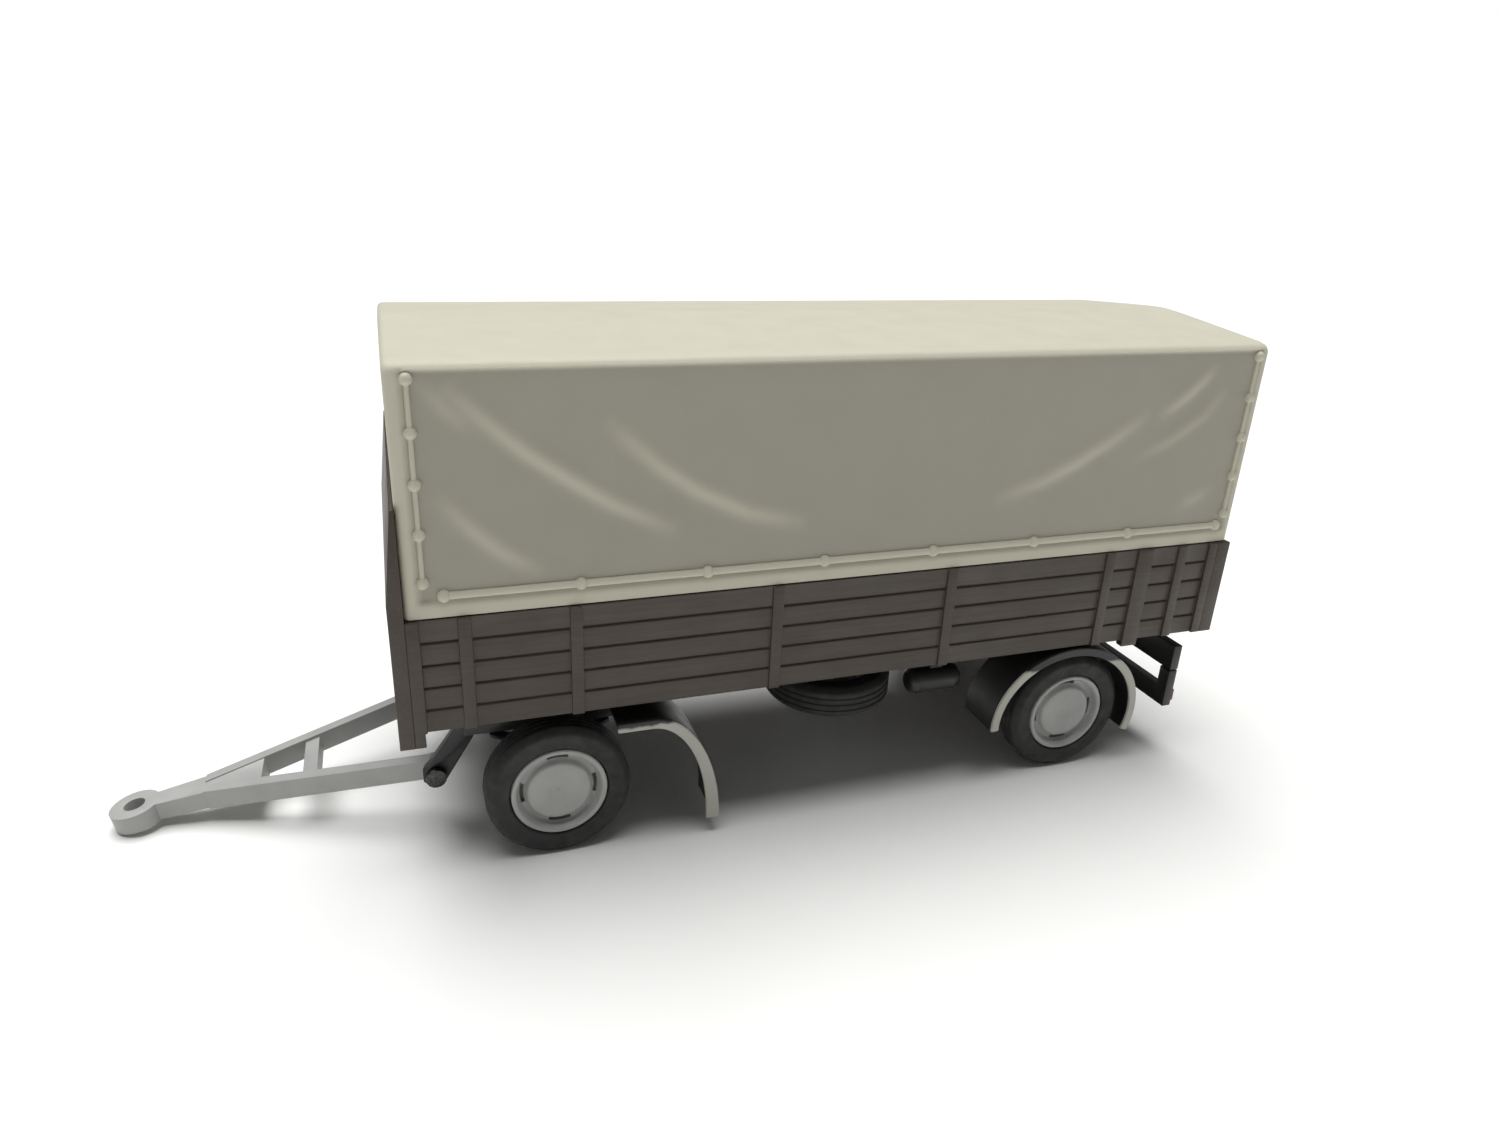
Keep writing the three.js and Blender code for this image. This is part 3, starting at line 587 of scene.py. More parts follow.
def rope_tree():
    """A rope from one point to another with knobs at equal steps."""
    inputs = {
        "Start": "NodeSocketVector",
        "End": "NodeSocketVector",
        "Knobs": "NodeSocketInt",
        "Rope Radius": "NodeSocketFloat",
        "Knob Radius": "NodeSocketFloat",
        "Material": "NodeSocketMaterial",
    }
    tree, inlet, outlet = new_tree("rope_with_knobs", inputs)
    links = {"Start": inlet.outputs["Start"], "End": inlet.outputs["End"]}
    line = add_node(tree, "GeometryNodeCurvePrimitiveLine", None, links)
    links = {"Radius": inlet.outputs["Rope Radius"]}
    round_section = add_node(tree, "GeometryNodeCurvePrimitiveCircle", {"Resolution": 12}, links)
    links = {"Curve": line.outputs[0], "Profile Curve": round_section.outputs[0]}
    rope = add_node(tree, "GeometryNodeCurveToMesh", {"Fill Caps": True}, links)
    links = {"Curve": line.outputs[0], "Count": inlet.outputs["Knobs"]}
    stops = add_node(tree, "GeometryNodeResampleCurve", None, links)
    links = {"Radius": inlet.outputs["Knob Radius"]}
    knob = add_node(tree, "GeometryNodeMeshUVSphere", {"Segments": 20, "Rings": 12}, links)
    links = {"Points": stops.outputs[0], "Instance": knob.outputs[0]}
    knobs = add_node(tree, "GeometryNodeInstanceOnPoints", None, links)
    both_parts = add_node(tree, "GeometryNodeJoinGeometry")
    tree.links.new(rope.outputs[0], both_parts.inputs[0])
    tree.links.new(knobs.outputs[0], both_parts.inputs[0])
    links = {"Geometry": both_parts.outputs[0]}
    smooth = add_node(tree, "GeometryNodeSetShadeSmooth", None, links)
    return finish_tree(tree, outlet, smooth.outputs[0], inlet.outputs["Material"])


def grown_mesh(name, tree, values):
    """What a tree makes from these inputs, as a plain mesh."""
    holder = bpy.data.objects.new(name, bpy.data.meshes.new(name + "_empty"))
    bpy.context.scene.collection.objects.link(holder)
    modifier = holder.modifiers.new("grow", "NODES")
    modifier.node_group = tree
    inputs = [item for item in tree.interface.items_tree if item.in_out == "INPUT"]
    sockets = {item.name: item.identifier for item in inputs}
    for label, value in values.items():
        modifier[sockets[label]] = value
    bpy.context.view_layer.update()
    evaluated = holder.evaluated_get(bpy.context.evaluated_depsgraph_get())
    mesh = bpy.data.meshes.new_from_object(evaluated)
    holder.modifiers.clear()
    bpy.data.objects.remove(holder)
    return mesh


rope_with_knobs = rope_tree()
print("rope tree", len(rope_with_knobs.nodes), "nodes")

# %% [markdown]
# ## Tyres
# The tyre is one soft ring, pressed over the wheel. At this scale the tread is plain, with a
# bevelled shoulder and three fine grooves around it. It is turned from its section.

# %% Tyres
tyre_low, tyre_high = box_mm("front_tyre_left")
TYRE_RADIUS = (tyre_high[2] - tyre_low[2]) / 2
TYRE_WIDTH = tyre_high[1] - tyre_low[1]
RIM_RADIUS = (box_mm("front_rim_left")[1][2] - box_mm("front_rim_left")[0][2]) / 2
BEAD_GAP = 0.03  # between the tyre and its rim
GROOVE_WIDTH = 0.12  # half a groove
GROOVE_DEPTH = 0.1
GROOVE_TAPER = 0.02
GROOVE_SHIFT = 0.55  # outer grooves from the middle one
TYRE_STEPS = 128


def tyre_profile():
    """The tyre's section, with its outer face at y = 0: bead, wall, shoulder and grooves."""
    bore = RIM_RADIUS + BEAD_GAP
    half = TYRE_WIDTH / 2
    wall = [(bore, 0.3), (bore + 0.15, 0.06), (bore + 0.4, 0.1), (TYRE_RADIUS - 0.75, 0)]
    shoulder = [(TYRE_RADIUS - 0.5, 0.03), (TYRE_RADIUS - 0.06, 0.42), (TYRE_RADIUS, 0.6)]
    floor = TYRE_RADIUS - GROOVE_DEPTH
    groove = []
    for y in (half - GROOVE_SHIFT, half):
        start, end = y - GROOVE_WIDTH, y if y == half else y + GROOVE_WIDTH
        groove += [(TYRE_RADIUS, start), (floor, start + GROOVE_TAPER)]
        groove += [(floor, end - GROOVE_TAPER)]
        groove += [(TYRE_RADIUS, end)] if y < half else []
    side = wall + shoulder + groove
    return side + [(r, TYRE_WIDTH - y) for r, y in reversed(side)]


def tyre_mesh():
    mesh = turned_mesh("tyre", cut_corners(tyre_profile(), 2), TYRE_STEPS)
    smooth_by_angle(mesh, 40)
    return mesh


tyre_master = tyre_mesh()
for node in wheel_nodes("tyre"):
    mesh = stand_wheel(tyre_master.copy(), node)
    place_piece(node + "_vinyl", mesh, vinyl, node)
print("tyre", round(TYRE_RADIUS * 2, 2), "mm across,", len(tyre_master.polygons), "faces")

# %% [markdown]
# ## Wheel discs
# The disc is a shallow raised plate with a dimple at its hub, a groove around it with four
# narrow slots, and a rolled lip. The disc is turned first, and a Boolean cuts the slots.

# %% Wheel discs
SLOT_RADIUS = 2.86
SLOT_WIDTH = 0.3
SLOT_SWEEP = 34  # degrees
SLOT_DEPTHS = (0.5, 1.6)  # a cutter goes from before the groove's floor to behind the back
SLOT_STEPS = 8
AXLE_HOLE = 0.66
DISC_EDGE = 2.45
GROOVE_FLOOR = 0.8
DISC_BACK = 1.3
NEARLY_ZERO = 0.01  # a profile stays this far off its own axis
DISC_STEPS = 96


def rim_profile():
    """The disc's section, with its outer face at y = 0."""
    back = TYRE_WIDTH - 0.5
    lip = RIM_RADIUS - 0.45
    return [
        (NEARLY_ZERO, 0.56),
        (0.5, 0.55),
        (0.8, 0.45),
        (1.15, 0.34),
        (2.2, 0.27),
        (DISC_EDGE, 0.36),
        (2.62, 0.78),
        (lip - 0.14, GROOVE_FLOOR),
        (lip, 0.22),
        (lip + 0.1, 0.08),
        (RIM_RADIUS - 0.1, 0.06),
        (RIM_RADIUS, 0.2),
        (RIM_RADIUS, back),
        (lip, back),
        (lip, DISC_BACK),
        (1.5, DISC_BACK),
        (1.15, back),
        (AXLE_HOLE, back),
        (AXLE_HOLE, 0.8),
        (NEARLY_ZERO, 0.8),
    ]


def slot_cutters():
    """Curved bars through the disc where its slots are."""
    points, faces = [], []
    steps = SLOT_STEPS
    for quarter in range(4):
        for step in range(steps + 1):
            angle = math.radians(90 * quarter + SLOT_SWEEP * (step / steps - 0.5))
            for r in (SLOT_RADIUS - SLOT_WIDTH / 2, SLOT_RADIUS + SLOT_WIDTH / 2):
                for y in SLOT_DEPTHS:
                    points.append((r * math.sin(angle), y, r * math.cos(angle)))
        start = quarter * 4 * (steps + 1)
        for step in range(steps):
            a = start + 4 * step
            b = a + 4
            faces += [(a, a + 1, b + 1, b), (a + 1, a + 3, b + 3, b + 1)]
            faces += [(a + 3, a + 2, b + 2, b + 3), (a + 2, a, b, b + 2)]
        last = start + 4 * steps
        faces += [(start, start + 2, start + 3, start + 1), (last, last + 1, last + 3, last + 2)]
    return mesh_from("slot_cutters", points, faces)


def cut_mesh(mesh, cutter_mesh):
    """The mesh with the cutter's space taken out of it."""
    scene = bpy.context.scene.collection
    body = bpy.data.objects.new("body_of_cut", mesh)
    cutter = bpy.data.objects.new("cutter", cutter_mesh)
    scene.objects.link(body)
    scene.objects.link(cutter)
    modifier = body.modifiers.new("cut", "BOOLEAN")
    modifier.operation = "DIFFERENCE"
    modifier.object = cutter
    bpy.context.view_layer.update()
    evaluated = body.evaluated_get(bpy.context.evaluated_depsgraph_get())
    result = bpy.data.meshes.new_from_object(evaluated)
    bpy.data.objects.remove(body)
    bpy.data.objects.remove(cutter)
    return result


disc = turned_mesh("wheel_disc", cut_corners(rim_profile(), 1), DISC_STEPS)
rim_master = cut_mesh(disc, slot_cutters())
smooth_by_angle(rim_master, 38)
for node in wheel_nodes("rim"):
    mesh = stand_wheel(rim_master.copy(), node)
    place_piece(node + "_disc", mesh, wheel_polystyrene, node)
print("wheel disc", len(rim_master.polygons), "faces")

# %% [markdown]
# ## Air tank
# A small tank with domed ends and a seam around each end, turned like the wheels and laid
# along the trailer.

# %% Air tank
TANK_SEAM = 0.05
TANK_STEPS = 48


def tank_mesh():
    """A tank along X: its profile runs from one domed end, over the seams, to the other."""
    low, high = box_mm("air_tank")
    radius = (high[2] - low[2]) / 2
    half = (high[0] - low[0]) / 2
    waist = radius - TANK_SEAM
    end = [(NEARLY_ZERO, half), (radius * 0.55, half), (radius * 0.9, half - 0.2)]
    end += [(waist, half - 0.55)]
    side = [(radius, half - 0.7), (radius, half - 0.8), (waist, half - 0.9)]
    profile = end + side + [(r, -y) for r, y in reversed(end + side)]
    mesh = turned_mesh("air_tank", cut_corners(profile, 1), TANK_STEPS)
    middle = Vector((low + high) / 2) * MM
    mesh.transform(Matrix.Translation(middle) @ Matrix.Rotation(math.pi / 2, 4, "Z"))
    smooth_by_angle(mesh)
    return mesh


tank = tank_mesh()
place_piece("air_tank_turned", tank, black_polystyrene, "air_tank")
print("air tank", len(tank.polygons), "faces")

# %% [markdown]
# ## Fenders
# Each fender is a strip of sheet bent to a curve, with a pale edge. The curve is drawn by a
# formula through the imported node's own box, in many more steps, and a band between two such
# curves, given a width and a small bevel, is the sheet.

# %% Fenders
FENDER_STEPS = 56
REAR_FENDER_FRONT_END = 5.3  # heights of the two ends, in mm
REAR_FENDER_REAR_END = 3.2
FRONT_FENDER_BEND = 2.8  # length of the flat top
SHEET = 0.4
EDGE_BAND = 0.75  # width of the pale edge
FOOT_BAND = 1.1  # its width at the front fender's foot
BAND_BEVEL = 0.05
BAND_SHARP_ANGLE = 50  # degrees


def rear_fender_curve(node, band):
    """Outer and inner line of the rear fender, in x and z."""
    low, high = box_mm(node)
    middle = (low[0] + high[0]) / 2
    reach = (high[0] - low[0]) / 2
    axle = TYRE_RADIUS
    rise = high[2] - axle
    start = math.pi + math.asin((axle - REAR_FENDER_FRONT_END) / rise)
    end = -math.asin((axle - REAR_FENDER_REAR_END) / rise)
    outer, inner = [], []
    for angle in np.linspace(start, end, FENDER_STEPS):
        for line, inset in ((outer, 0), (inner, band)):
            x = middle + (reach - inset) * math.cos(angle)
            line.append((x, axle + (rise - inset) * math.sin(angle)))
    return outer, inner


def front_fender_curve(node, band):
    """Outer and inner line of the front fender: a flat top, then a long bend down."""
    low, high = box_mm(node)
    start = low[0]
    bend = start + FRONT_FENDER_BEND
    reach = high[0] - bend
    drop = high[2] - low[2]
    top_band, foot_band = band
    outer, inner = [(start, high[2])], [(start, high[2] - top_band)]
    for share in np.linspace(0, 1, FENDER_STEPS):
        angle = math.pi / 2 * (1 - share)
        width = top_band + (foot_band - top_band) * share
        for line, inset in ((outer, 0), (inner, width)):
            x = bend + (reach - inset) * math.cos(angle)
            line.append((x, low[2] + (drop - inset) * math.sin(angle)))
    return outer, inner


def band_mesh(name, outer, inner, y0, y1):
    """A solid strip between two lines in x and z, from y0 to y1."""
    count = len(outer)
    points = [(x, y, z) for y in (y0, y1) for x, z in outer + inner]
    faces = []
    for i in range(count - 1):
        a, b = i, i + 1
        c, d = count + i + 1, count + i
        other = 2 * count
        faces += [(a, b, c, d), (d + other, c + other, b + other, a + other)]
        faces += [(a, a + other, b + other, b), (d, c, c + other, d + other)]
    faces.append((0, count, 3 * count, 2 * count))
    faces.append((count - 1, 3 * count - 1, 4 * count - 1, 2 * count - 1))
    mesh = mesh_from(name, points, faces)
    work = bmesh.new()
    work.from_mesh(mesh)
    sharp = [e for e in work.edges if e.calc_face_angle(0) > math.radians(BAND_SHARP_ANGLE)]
    bmesh.ops.bevel(work, geom=sharp, offset=BAND_BEVEL * MM, segments=2, affect="EDGES")
    work.to_mesh(mesh)
    work.free()
    smooth_by_angle(mesh)
    return mesh


def make_fenders():
    """The sheet and the pale edge of all four fenders."""
    for side in ("left", "right"):
        for axle, curve in (("rear", rear_fender_curve), ("front", front_fender_curve)):
            sheet_band = SHEET if axle == "rear" else (SHEET, SHEET)
            edge_band = EDGE_BAND if axle == "rear" else (EDGE_BAND, FOOT_BAND)
            parts = (
                (f"{axle}_fender_{side}", sheet_band, black_polystyrene, "black_plastic"),
                (f"{axle}_fender_edge_{side}", edge_band, edge_lacquer_and_painted_shade, "grey_plastic"),
            )
            for node, band, material, slot in parts:
                low, high = box_mm(node)
                mesh = band_mesh(node + "_bent", *curve(node, band), low[1], high[1])
                place_piece(node + "_bent", mesh, material, node)


make_fenders()
print("fenders done")

# %% [markdown]
# ## Cover
# On the real vehicle this is canvas over hoops. On the model it is one hard moulding, so it
# needs no cloth: it needs the relief that its maker cut into the mould. The shell is one
# surface wrapped over the body: each point has a place along the trailer and a place along the
# wall, eave and roof, and a height map pushes it out or in. The height map has the raised hems
# around each side and the long slack folds that hang from the upper corners.

# %% Cover relief
RIDGE_RISE = 1.2
EAVE_RADIUS = 0.7
cover_low, cover_high = box_mm("cover")
COVER_BOTTOM = box_mm("side_board_left")[1][2] + FIXED_GAP
EAVE = cover_high[2] - RIDGE_RISE
COVER_LENGTH = cover_high[0] - cover_low[0]
PANEL_HEIGHT = EAVE - COVER_BOTTOM
HEM = 1.05  # width of the hems
REAR_HEM_SHARE = 0.8  # the rear hem is this much of it
HEM_RISE = 0.22
EAVE_STRIP = 0.45  # height of the raised strip under the eave
EAVE_STRIP_SHARE = 0.8  # and its rise as a share of the hems'
SLACK = 0.1  # how far the middle of a panel sinks in
PANEL_SUNK = 0.22  # the panel lies this far inside the cover's box
RELIEF_ROOM = 0.02  # the shell is drawn this far inside the cover's box
ROOF_BAYS = 6
ROOF_SLACK = 0.07
# The crests of the folds are painted light, as highlight, by taking the panel's painted shade away.
CREST_PAINTED_HIGHLIGHT = 3.2  # how fast a fold's height takes away the panel's deeper shade

# Folds in the side panel: points as (along the cover from its front, height above its lower
# edge), then how high the fold stands and how wide it is.
SIDE_FOLDS = [
    ([(4.0, 15.6), (6.0, 13.6), (8.7, 11.2), (11.8, 9.0), (14.4, 7.3), (18.5, 5.2)], 0.26, 0.55),
    ([(2.4, 15.9), (3.6, 14.4), (4.9, 13.1)], 0.12, 0.5),
    ([(3.1, 8.2), (4.8, 6.2), (6.7, 4.4), (9.0, 2.9)], 0.2, 0.55),
    ([(14.4, 12.9), (15.9, 11.5), (17.6, 9.9), (20.4, 7.9), (24.5, 5.9), (28.5, 4.9)], 0.24, 0.6),
    ([(64.4, 15.4), (62.6, 13.6), (60.2, 11.8)], 0.2, 0.5),
    ([(58.4, 11.7), (55.8, 10.0), (52.8, 8.3), (49.4, 6.7), (45.8, 5.6)], 0.2, 0.6),
    ([(66.0, 13.4), (64.4, 11.5), (61.4, 9.5), (58.6, 8.2)], 0.12, 0.5),
    ([(66.4, 4.8), (64.0, 3.6)], 0.1, 0.6),
]


def fold_height(along, up, folds):
    """How far the folds lift the surface at these places."""
    lift = np.zeros_like(along)
    for points, height, width in folds:
        path = np.array(points)
        nearest = np.full(along.shape, 1e9)
        share_there = np.zeros_like(along)
        lengths = np.hypot(*np.diff(path, axis=0).T)
        reached = np.concatenate([[0], np.cumsum(lengths)])
        for start, end, begin, length in zip(path[:-1], path[1:], reached[:-1], lengths):
            step = (end - start) / length
            t = np.clip((along - start[0]) * step[0] + (up - start[1]) * step[1], 0, length)
            away = np.hypot(along - start[0] - t * step[0], up - start[1] - t * step[1])
            closer = away < nearest
            nearest = np.where(closer, away, nearest)
            share_there = np.where(closer, (begin + t) / reached[-1], share_there)
        fade = np.sin(np.pi * np.clip(share_there, 0.02, 0.98)) ** 0.45
        lift += height * fade * np.exp(-((nearest / width) ** 2))
    return lift


def step_up(value, edge, width=0.12):
    """A smooth step from 0 to 1 as value passes edge."""
    return 1 / (1 + np.exp(-(value - edge) / width * 4))


def hem_share(along, up):
    """1 on the hems along the panel's ends and foot, 0 inside them."""
    rear = COVER_LENGTH - along
    return np.maximum.reduce(
        [step_up(-along, -HEM), step_up(-rear, -HEM * REAR_HEM_SHARE), step_up(-up, -HEM)]
    )


def side_relief(along, up):
    """Relief of a side panel: hems around it, folds and a slight slackness between."""
    hem = hem_share(along, up)
    inside = 1 - hem
    middle = np.sin(np.pi * np.clip(along / COVER_LENGTH, 0, 1)) * np.sin(
        np.pi * np.clip(up / PANEL_HEIGHT, 0, 1)
    )
    slack = -SLACK * middle
    under_eave = step_up(up, PANEL_HEIGHT - EAVE_STRIP, 0.1)
    folds = fold_height(along, up, SIDE_FOLDS)
    raised = HEM_RISE * np.maximum(hem, EAVE_STRIP_SHARE * under_eave)
    return raised + inside * (folds + slack) - PANEL_SUNK


def roof_relief(along, across):
    """The roof is plain, but for a very slight slackness in each of its bays."""
    bays = 0.5 - 0.5 * np.cos(2 * math.pi * along / COVER_LENGTH * ROOF_BAYS)
    edge = np.clip(1 - np.abs(across) / -cover_low[1], 0, 1)
    return -ROOF_SLACK * bays * edge


def mark_painted_panel_shade(mesh):
    """Writes painted shade to each vertex: how far it lies in a side panel, 0 on hems and fold
    crests.
    """
    place = np.empty(len(mesh.vertices) * 3)
    mesh.vertices.foreach_get("co", place)
    x, y, z = place.reshape(-1, 3).T / MM
    along, up = x - cover_low[0], z - COVER_BOTTOM
    below_eave = step_up(-up, 0.5 - PANEL_HEIGHT, 0.1)
    inside = (1 - hem_share(along, up)) * below_eave
    # crests of the folds lose the painted shade, which paints them light as highlight
    crest_highlight = CREST_PAINTED_HIGHLIGHT * fold_height(along, up, SIDE_FOLDS)
    panel = inside * np.clip(1 - crest_highlight, 0, 1)
    panel = np.where(np.abs(y) > -cover_low[1] - 0.6, panel, 0)
    attribute = mesh.attributes.new("panel", "FLOAT", "POINT")
    attribute.data.foreach_set("value", panel.astype(np.float32))


print("side panel", round(COVER_LENGTH, 1), "by", round(PANEL_HEIGHT, 1), "mm")

# %% [markdown]
# The wall, eave and roof are one line of points. Its normals tell which way the relief pushes.
# Rings of this line, one every three tenths of a millimetre, make the shell. The last few
# rings at each end close in on a quarter circle, so that the upright corners come out round.

# %% Cover shell
SPACING = 0.3
CORNER = 0.45  # radius of the upright corners
EAVE_STEPS = 7
ROOF_SPACING = 0.4
RIDGE_ROUNDING = 0.12
COVER_WALL = 0.9


def cover_line():
    """The cover's section from its lower left edge over the roof to its lower right edge."""
    half = -cover_low[1] - RELIEF_ROOM
    eave = EAVE - RELIEF_ROOM
    ridge = cover_high[2] - RELIEF_ROOM
    walls = np.arange(COVER_BOTTOM, eave - EAVE_RADIUS, SPACING)
    left = [(-half, z) for z in walls]
    slope = (ridge - eave) / half
    for angle in np.linspace(0, math.pi / 2, EAVE_STEPS):
        y = -half + EAVE_RADIUS * (1 - math.cos(angle))
        left.append((y, eave - EAVE_RADIUS + EAVE_RADIUS * math.sin(angle) + slope * (y + half)))
    for y in np.arange(-half + EAVE_RADIUS + ROOF_SPACING, -ROOF_SPACING / 2, ROOF_SPACING):
        left.append((y, ridge - math.hypot(slope * y, RIDGE_ROUNDING) + RIDGE_ROUNDING * 0.6))
    right = [(-y, z) for y, z in reversed(left)]
    return np.array(left + [(0, ridge - 0.05)] + right)


def line_normals(line):
    """Unit normals of a line of (y, z) points, pointing out of the cover."""
    tangent = np.gradient(line, axis=0)
    normal = np.stack([-tangent[:, 1], tangent[:, 0]], axis=1)
    return normal / np.linalg.norm(normal, axis=1)[:, None]


def cover_shell():
    """Outer skin of the cover with its relief, as points and faces in mm."""
    line = cover_line()
    normal = line_normals(line)
    x0 = cover_low[0]
    turns = np.linspace(0, math.pi / 2, 5)[:-1]
    front = [(x0 + CORNER * (1 - math.cos(t)), CORNER * (1 - math.sin(t))) for t in turns]
    straight = np.arange(x0 + CORNER, cover_high[0] - CORNER + 1e-6, SPACING)
    rear = [(cover_high[0] - (x - x0), inset) for x, inset in reversed(front)]
    rings = front + [(x, 0) for x in straight] + rear
    on_side = np.abs(line[:, 0]) > -cover_low[1] - RELIEF_ROOM - 0.05
    points = []
    for x, inset in rings:
        along = np.full(len(line), x - x0)
        up = line[:, 1] - COVER_BOTTOM
        relief = np.where(on_side, side_relief(along, up), roof_relief(along, line[:, 0]))
        moved = line + normal * (relief - inset)[:, None]
        moved[:, 1] = np.maximum(moved[:, 1], COVER_BOTTOM)
        points += [(x, y, z) for y, z in moved]
    count = len(line)
    faces = []
    for ring in range(len(rings) - 1):
        for i in range(count - 1):
            a = ring * count + i
            faces.append((a, a + 1, a + 1 + count, a + count))
    return points, faces, count, len(rings)


def cover_mesh():
    """The relief skin, its ends and an inner wall, as one surface, hollow from below."""
    points, faces, count, rings = cover_shell()
    first = list(range(count))
    last = list(range((rings - 1) * count, rings * count))
    faces += [tuple(reversed(first)), tuple(last)]
    rim = len(points)
    wall = COVER_WALL
    inner_half = -cover_low[1] - RELIEF_ROOM - wall
    x_ends = (cover_low[0] + wall, cover_high[0] - wall)
    corners = [(-inner_half, COVER_BOTTOM), (-inner_half, EAVE - wall)]
    corners += [(0, cover_high[2] - wall - 0.2)]
    corners += [(inner_half, EAVE - wall), (inner_half, COVER_BOTTOM)]
    points += [(x, y, z) for x in x_ends for y, z in corners]
    for i in range(4):
        faces.append((rim + i, rim + i + 5, rim + i + 6, rim + i + 1))
    faces += [tuple(rim + i for i in range(5)), tuple(rim + 9 - i for i in range(5))]
    left_edge = [ring * count for ring in range(rings)]
    right_edge = [ring * count + count - 1 for ring in range(rings)]
    faces.append(tuple(left_edge) + (rim + 5, rim))
    faces.append(tuple(reversed(right_edge)) + (rim + 4, rim + 9))
    faces.append((left_edge[0], rim, rim + 4, right_edge[0]))
    faces.append((right_edge[-1], rim + 9, rim + 5, left_edge[-1]))
    mesh = mesh_from("cover_shell", points, faces)
    mark_painted_panel_shade(mesh)
    smooth_by_angle(mesh, 50)
    return mesh


shell = cover_mesh()
print("cover shell", len(shell.polygons), "faces")

# %% [markdown]
# The ropes that lash the cover are moulded in the same plastic: one along each lower hem and
# one up each corner, each held by round knobs. The rear flap has ropes up both its sides and
# along its foot. The rope tree lays them all.

# %% Ropes and knobs
LOWER_ROPE = 1.5  # height of the lower rope above the cover's edge
FRONT_ROPE = 1.4  # the upright ropes' distance from the cover's ends
REAR_ROPE = 0.95
LOWER_ROPE_ENDS = (2.7, 1.6)  # the lower rope's ends from the cover's front and rear
ROPE_KNOBS = 8
UPRIGHT_KNOBS = 5
FLAP_KNOBS = 4
ROPE_SUNK = 0.2  # a rope's middle line inside the cover's box
ROPE_TOP = EAVE - 0.95
ROPE_FOOT = COVER_BOTTOM + 2.55
ROPE_HEIGHT = COVER_BOTTOM + LOWER_ROPE


def rope(name, start, end, knobs, rope_radius, knob_radius):
    """One rope as a mesh, its ends and radii in mm."""
    values = {
        "Start": Vector(start) * MM,
        "End": Vector(end) * MM,
        "Knobs": knobs,
        "Rope Radius": rope_radius * MM,
        "Knob Radius": knob_radius * MM,
        "Material": cover_polystyrene,
    }
    return grown_mesh(name, rope_with_knobs, values)


def side_ropes(sign):
    """The lower rope and the two upright ropes of one side."""
    y = sign * (-cover_low[1] - ROPE_SUNK)
    z = ROPE_HEIGHT
    front, rear = cover_low[0], cover_high[0]
    start, end = front + LOWER_ROPE_ENDS[0], rear - LOWER_ROPE_ENDS[1]
    lower = rope("lower_rope", (start, y, z), (end, y, z), ROPE_KNOBS, 0.28, 0.46)
    uprights = [
        rope("upright_rope", (x, y, ROPE_TOP), (x, y, ROPE_FOOT), UPRIGHT_KNOBS, 0.18, 0.44)
        for x in (front + FRONT_ROPE, rear - REAR_ROPE)
    ]
    return [lower] + uprights


def end_ropes():
    """The ropes of the rear flap: up both sides and along its foot."""
    x = cover_high[0] - ROPE_SUNK
    reach = -cover_low[1] - 1.6
    z = ROPE_HEIGHT
    ropes = [rope("flap_rope", (x, -reach, z), (x, reach, z), FLAP_KNOBS, 0.2, 0.34)]
    for y in (-reach, reach):
        ends = (x, y, ROPE_TOP), (x, y, ROPE_FOOT)
        ropes.append(rope("flap_upright", *ends, UPRIGHT_KNOBS, 0.15, 0.32))
    return ropes


ropes = side_ropes(-1) + side_ropes(1) + end_ropes()
whole_cover = joined("cover_moulded", [shell] + ropes)
place_piece("cover_moulded", whole_cover, cover_polystyrene, "cover")
print("cover", len(whole_cover.polygons), "faces, with", len(ropes), "ropes")

# %% [markdown]
# ## Light and floor
# A plain pale table under even, soft light. Most of it comes from above and a little behind,
# from a wide patch of sky, so the roof is bright, the near side is in shade and the shadow
# on the table is soft. The world adds a little light from everywhere, and shows as white.

# %% Stage
WORLD_FILL = 0.13  # light from all around
TABLE_HALF = 6  # metres, so that its edge is out of sight


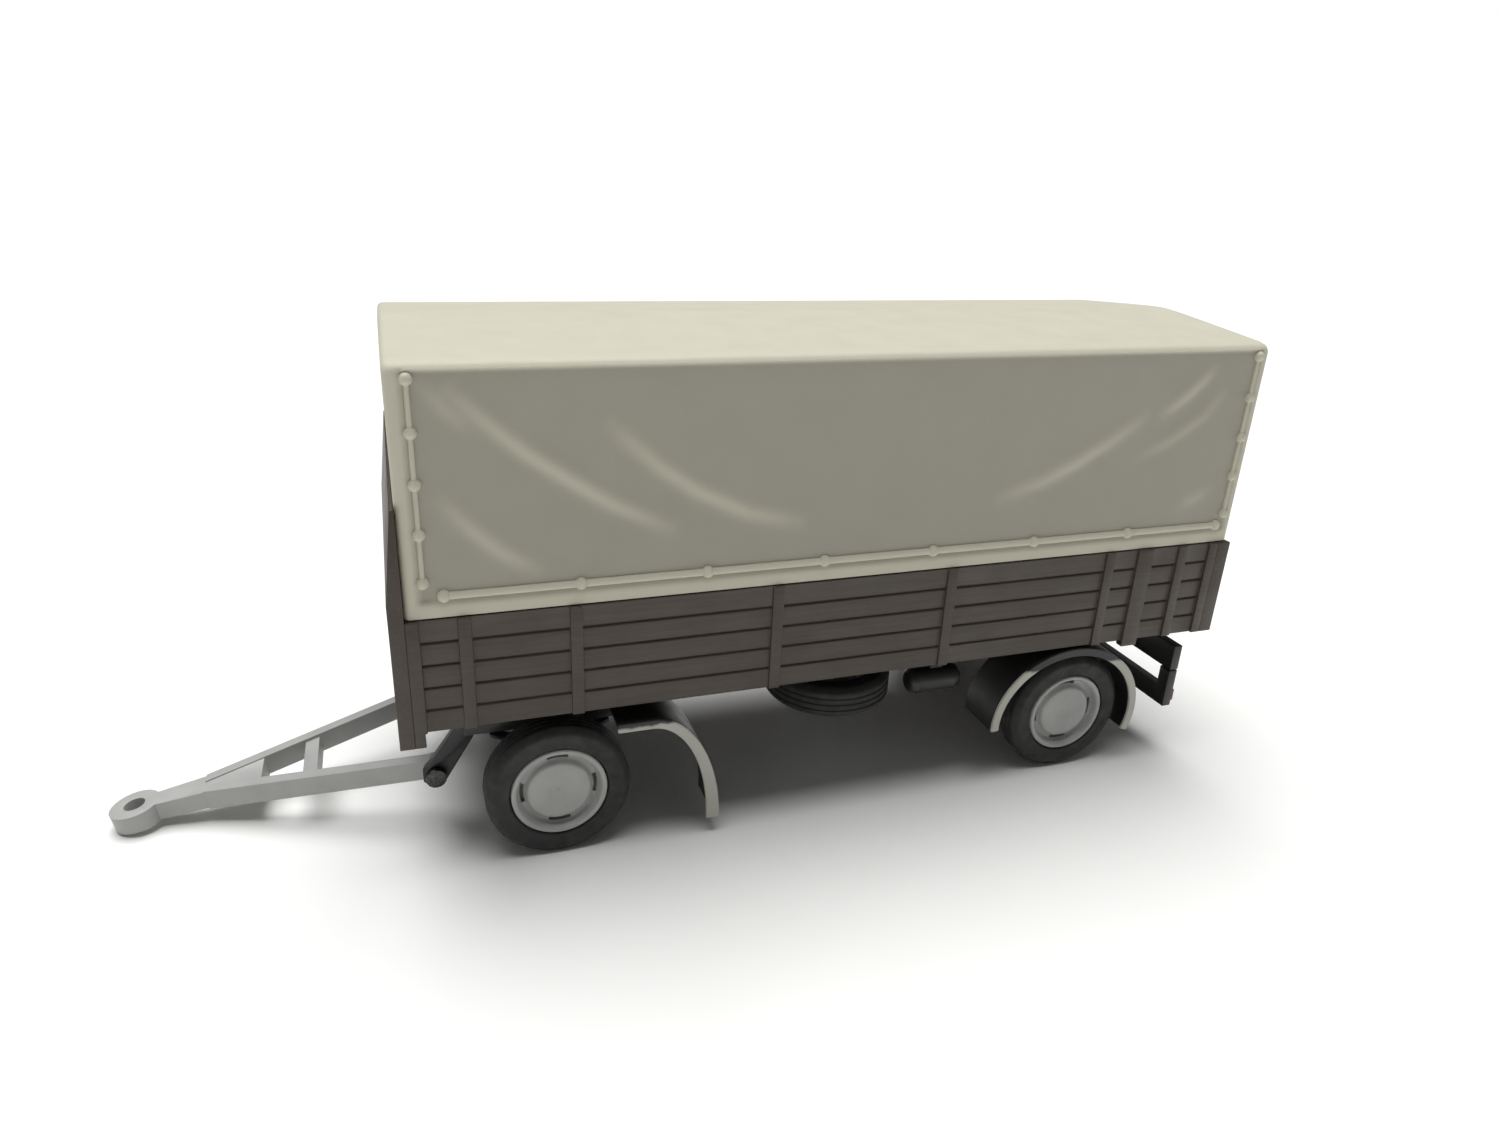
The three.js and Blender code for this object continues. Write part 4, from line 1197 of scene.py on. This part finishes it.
def sun_light(name, elevation, heading, strength, spread):
    """Even light from one side of the sky: heading is where it shines to, from +Y."""
    data = bpy.data.lights.new(name, "SUN")
    data.energy = strength
    data.angle = math.radians(spread)
    light = bpy.data.objects.new(name, data)
    bpy.context.scene.collection.objects.link(light)
    aim = look_direction(heading, elevation)
    light.rotation_euler = aim.to_track_quat("-Z", "Y").to_euler()


def make_world():
    """A weak light from all around that the camera sees as white."""
    world = bpy.data.worlds.new("studio")
    bpy.context.scene.world = world
    world.use_nodes = True
    tree = world.node_tree
    tree.nodes.clear()
    path = add_node(tree, "ShaderNodeLightPath")
    white = linear("#ffffff")
    fill = add_node(tree, "ShaderNodeBackground", {"Color": white, "Strength": WORLD_FILL})
    seen = add_node(tree, "ShaderNodeBackground", {"Color": white, "Strength": 1})
    direct = add_node(tree, "ShaderNodeMath", {"operation": "MAXIMUM"})
    tree.links.new(path.outputs["Is Camera Ray"], direct.inputs[0])
    tree.links.new(path.outputs["Is Transmission Ray"], direct.inputs[1])
    mix = add_node(tree, "ShaderNodeMixShader")
    tree.links.new(direct.outputs[0], mix.inputs[0])
    tree.links.new(fill.outputs[0], mix.inputs[1])
    tree.links.new(seen.outputs[0], mix.inputs[2])
    output = add_node(tree, "ShaderNodeOutputWorld")
    tree.links.new(mix.outputs[0], output.inputs[0])


def make_floor():
    """A wide sheet of white card under the wheels."""
    material, tree, shader, place = start_material("table_white_card", {"Roughness": 0.9})
    two_tone(tree, shader, noise(tree, place, 40), "#f1f1ef", "#f5f5f3")
    half = TABLE_HALF
    corners = [(-half, -half, 0), (half, -half, 0), (half, half, 0), (-half, half, 0)]
    mesh = bpy.data.meshes.new("table")
    mesh.from_pydata(corners, [], [(0, 1, 2, 3)])
    mesh.materials.append(material)
    floor = bpy.data.objects.new("table", mesh)
    bpy.context.scene.collection.objects.link(floor)


make_world()
make_floor()
sun_light("window", elevation=79, heading=165, strength=3.75, spread=56)
bpy.context.scene.view_settings.view_transform = "Standard"
print("table", 2 * TABLE_HALF, "m wide, world fill", WORLD_FILL)
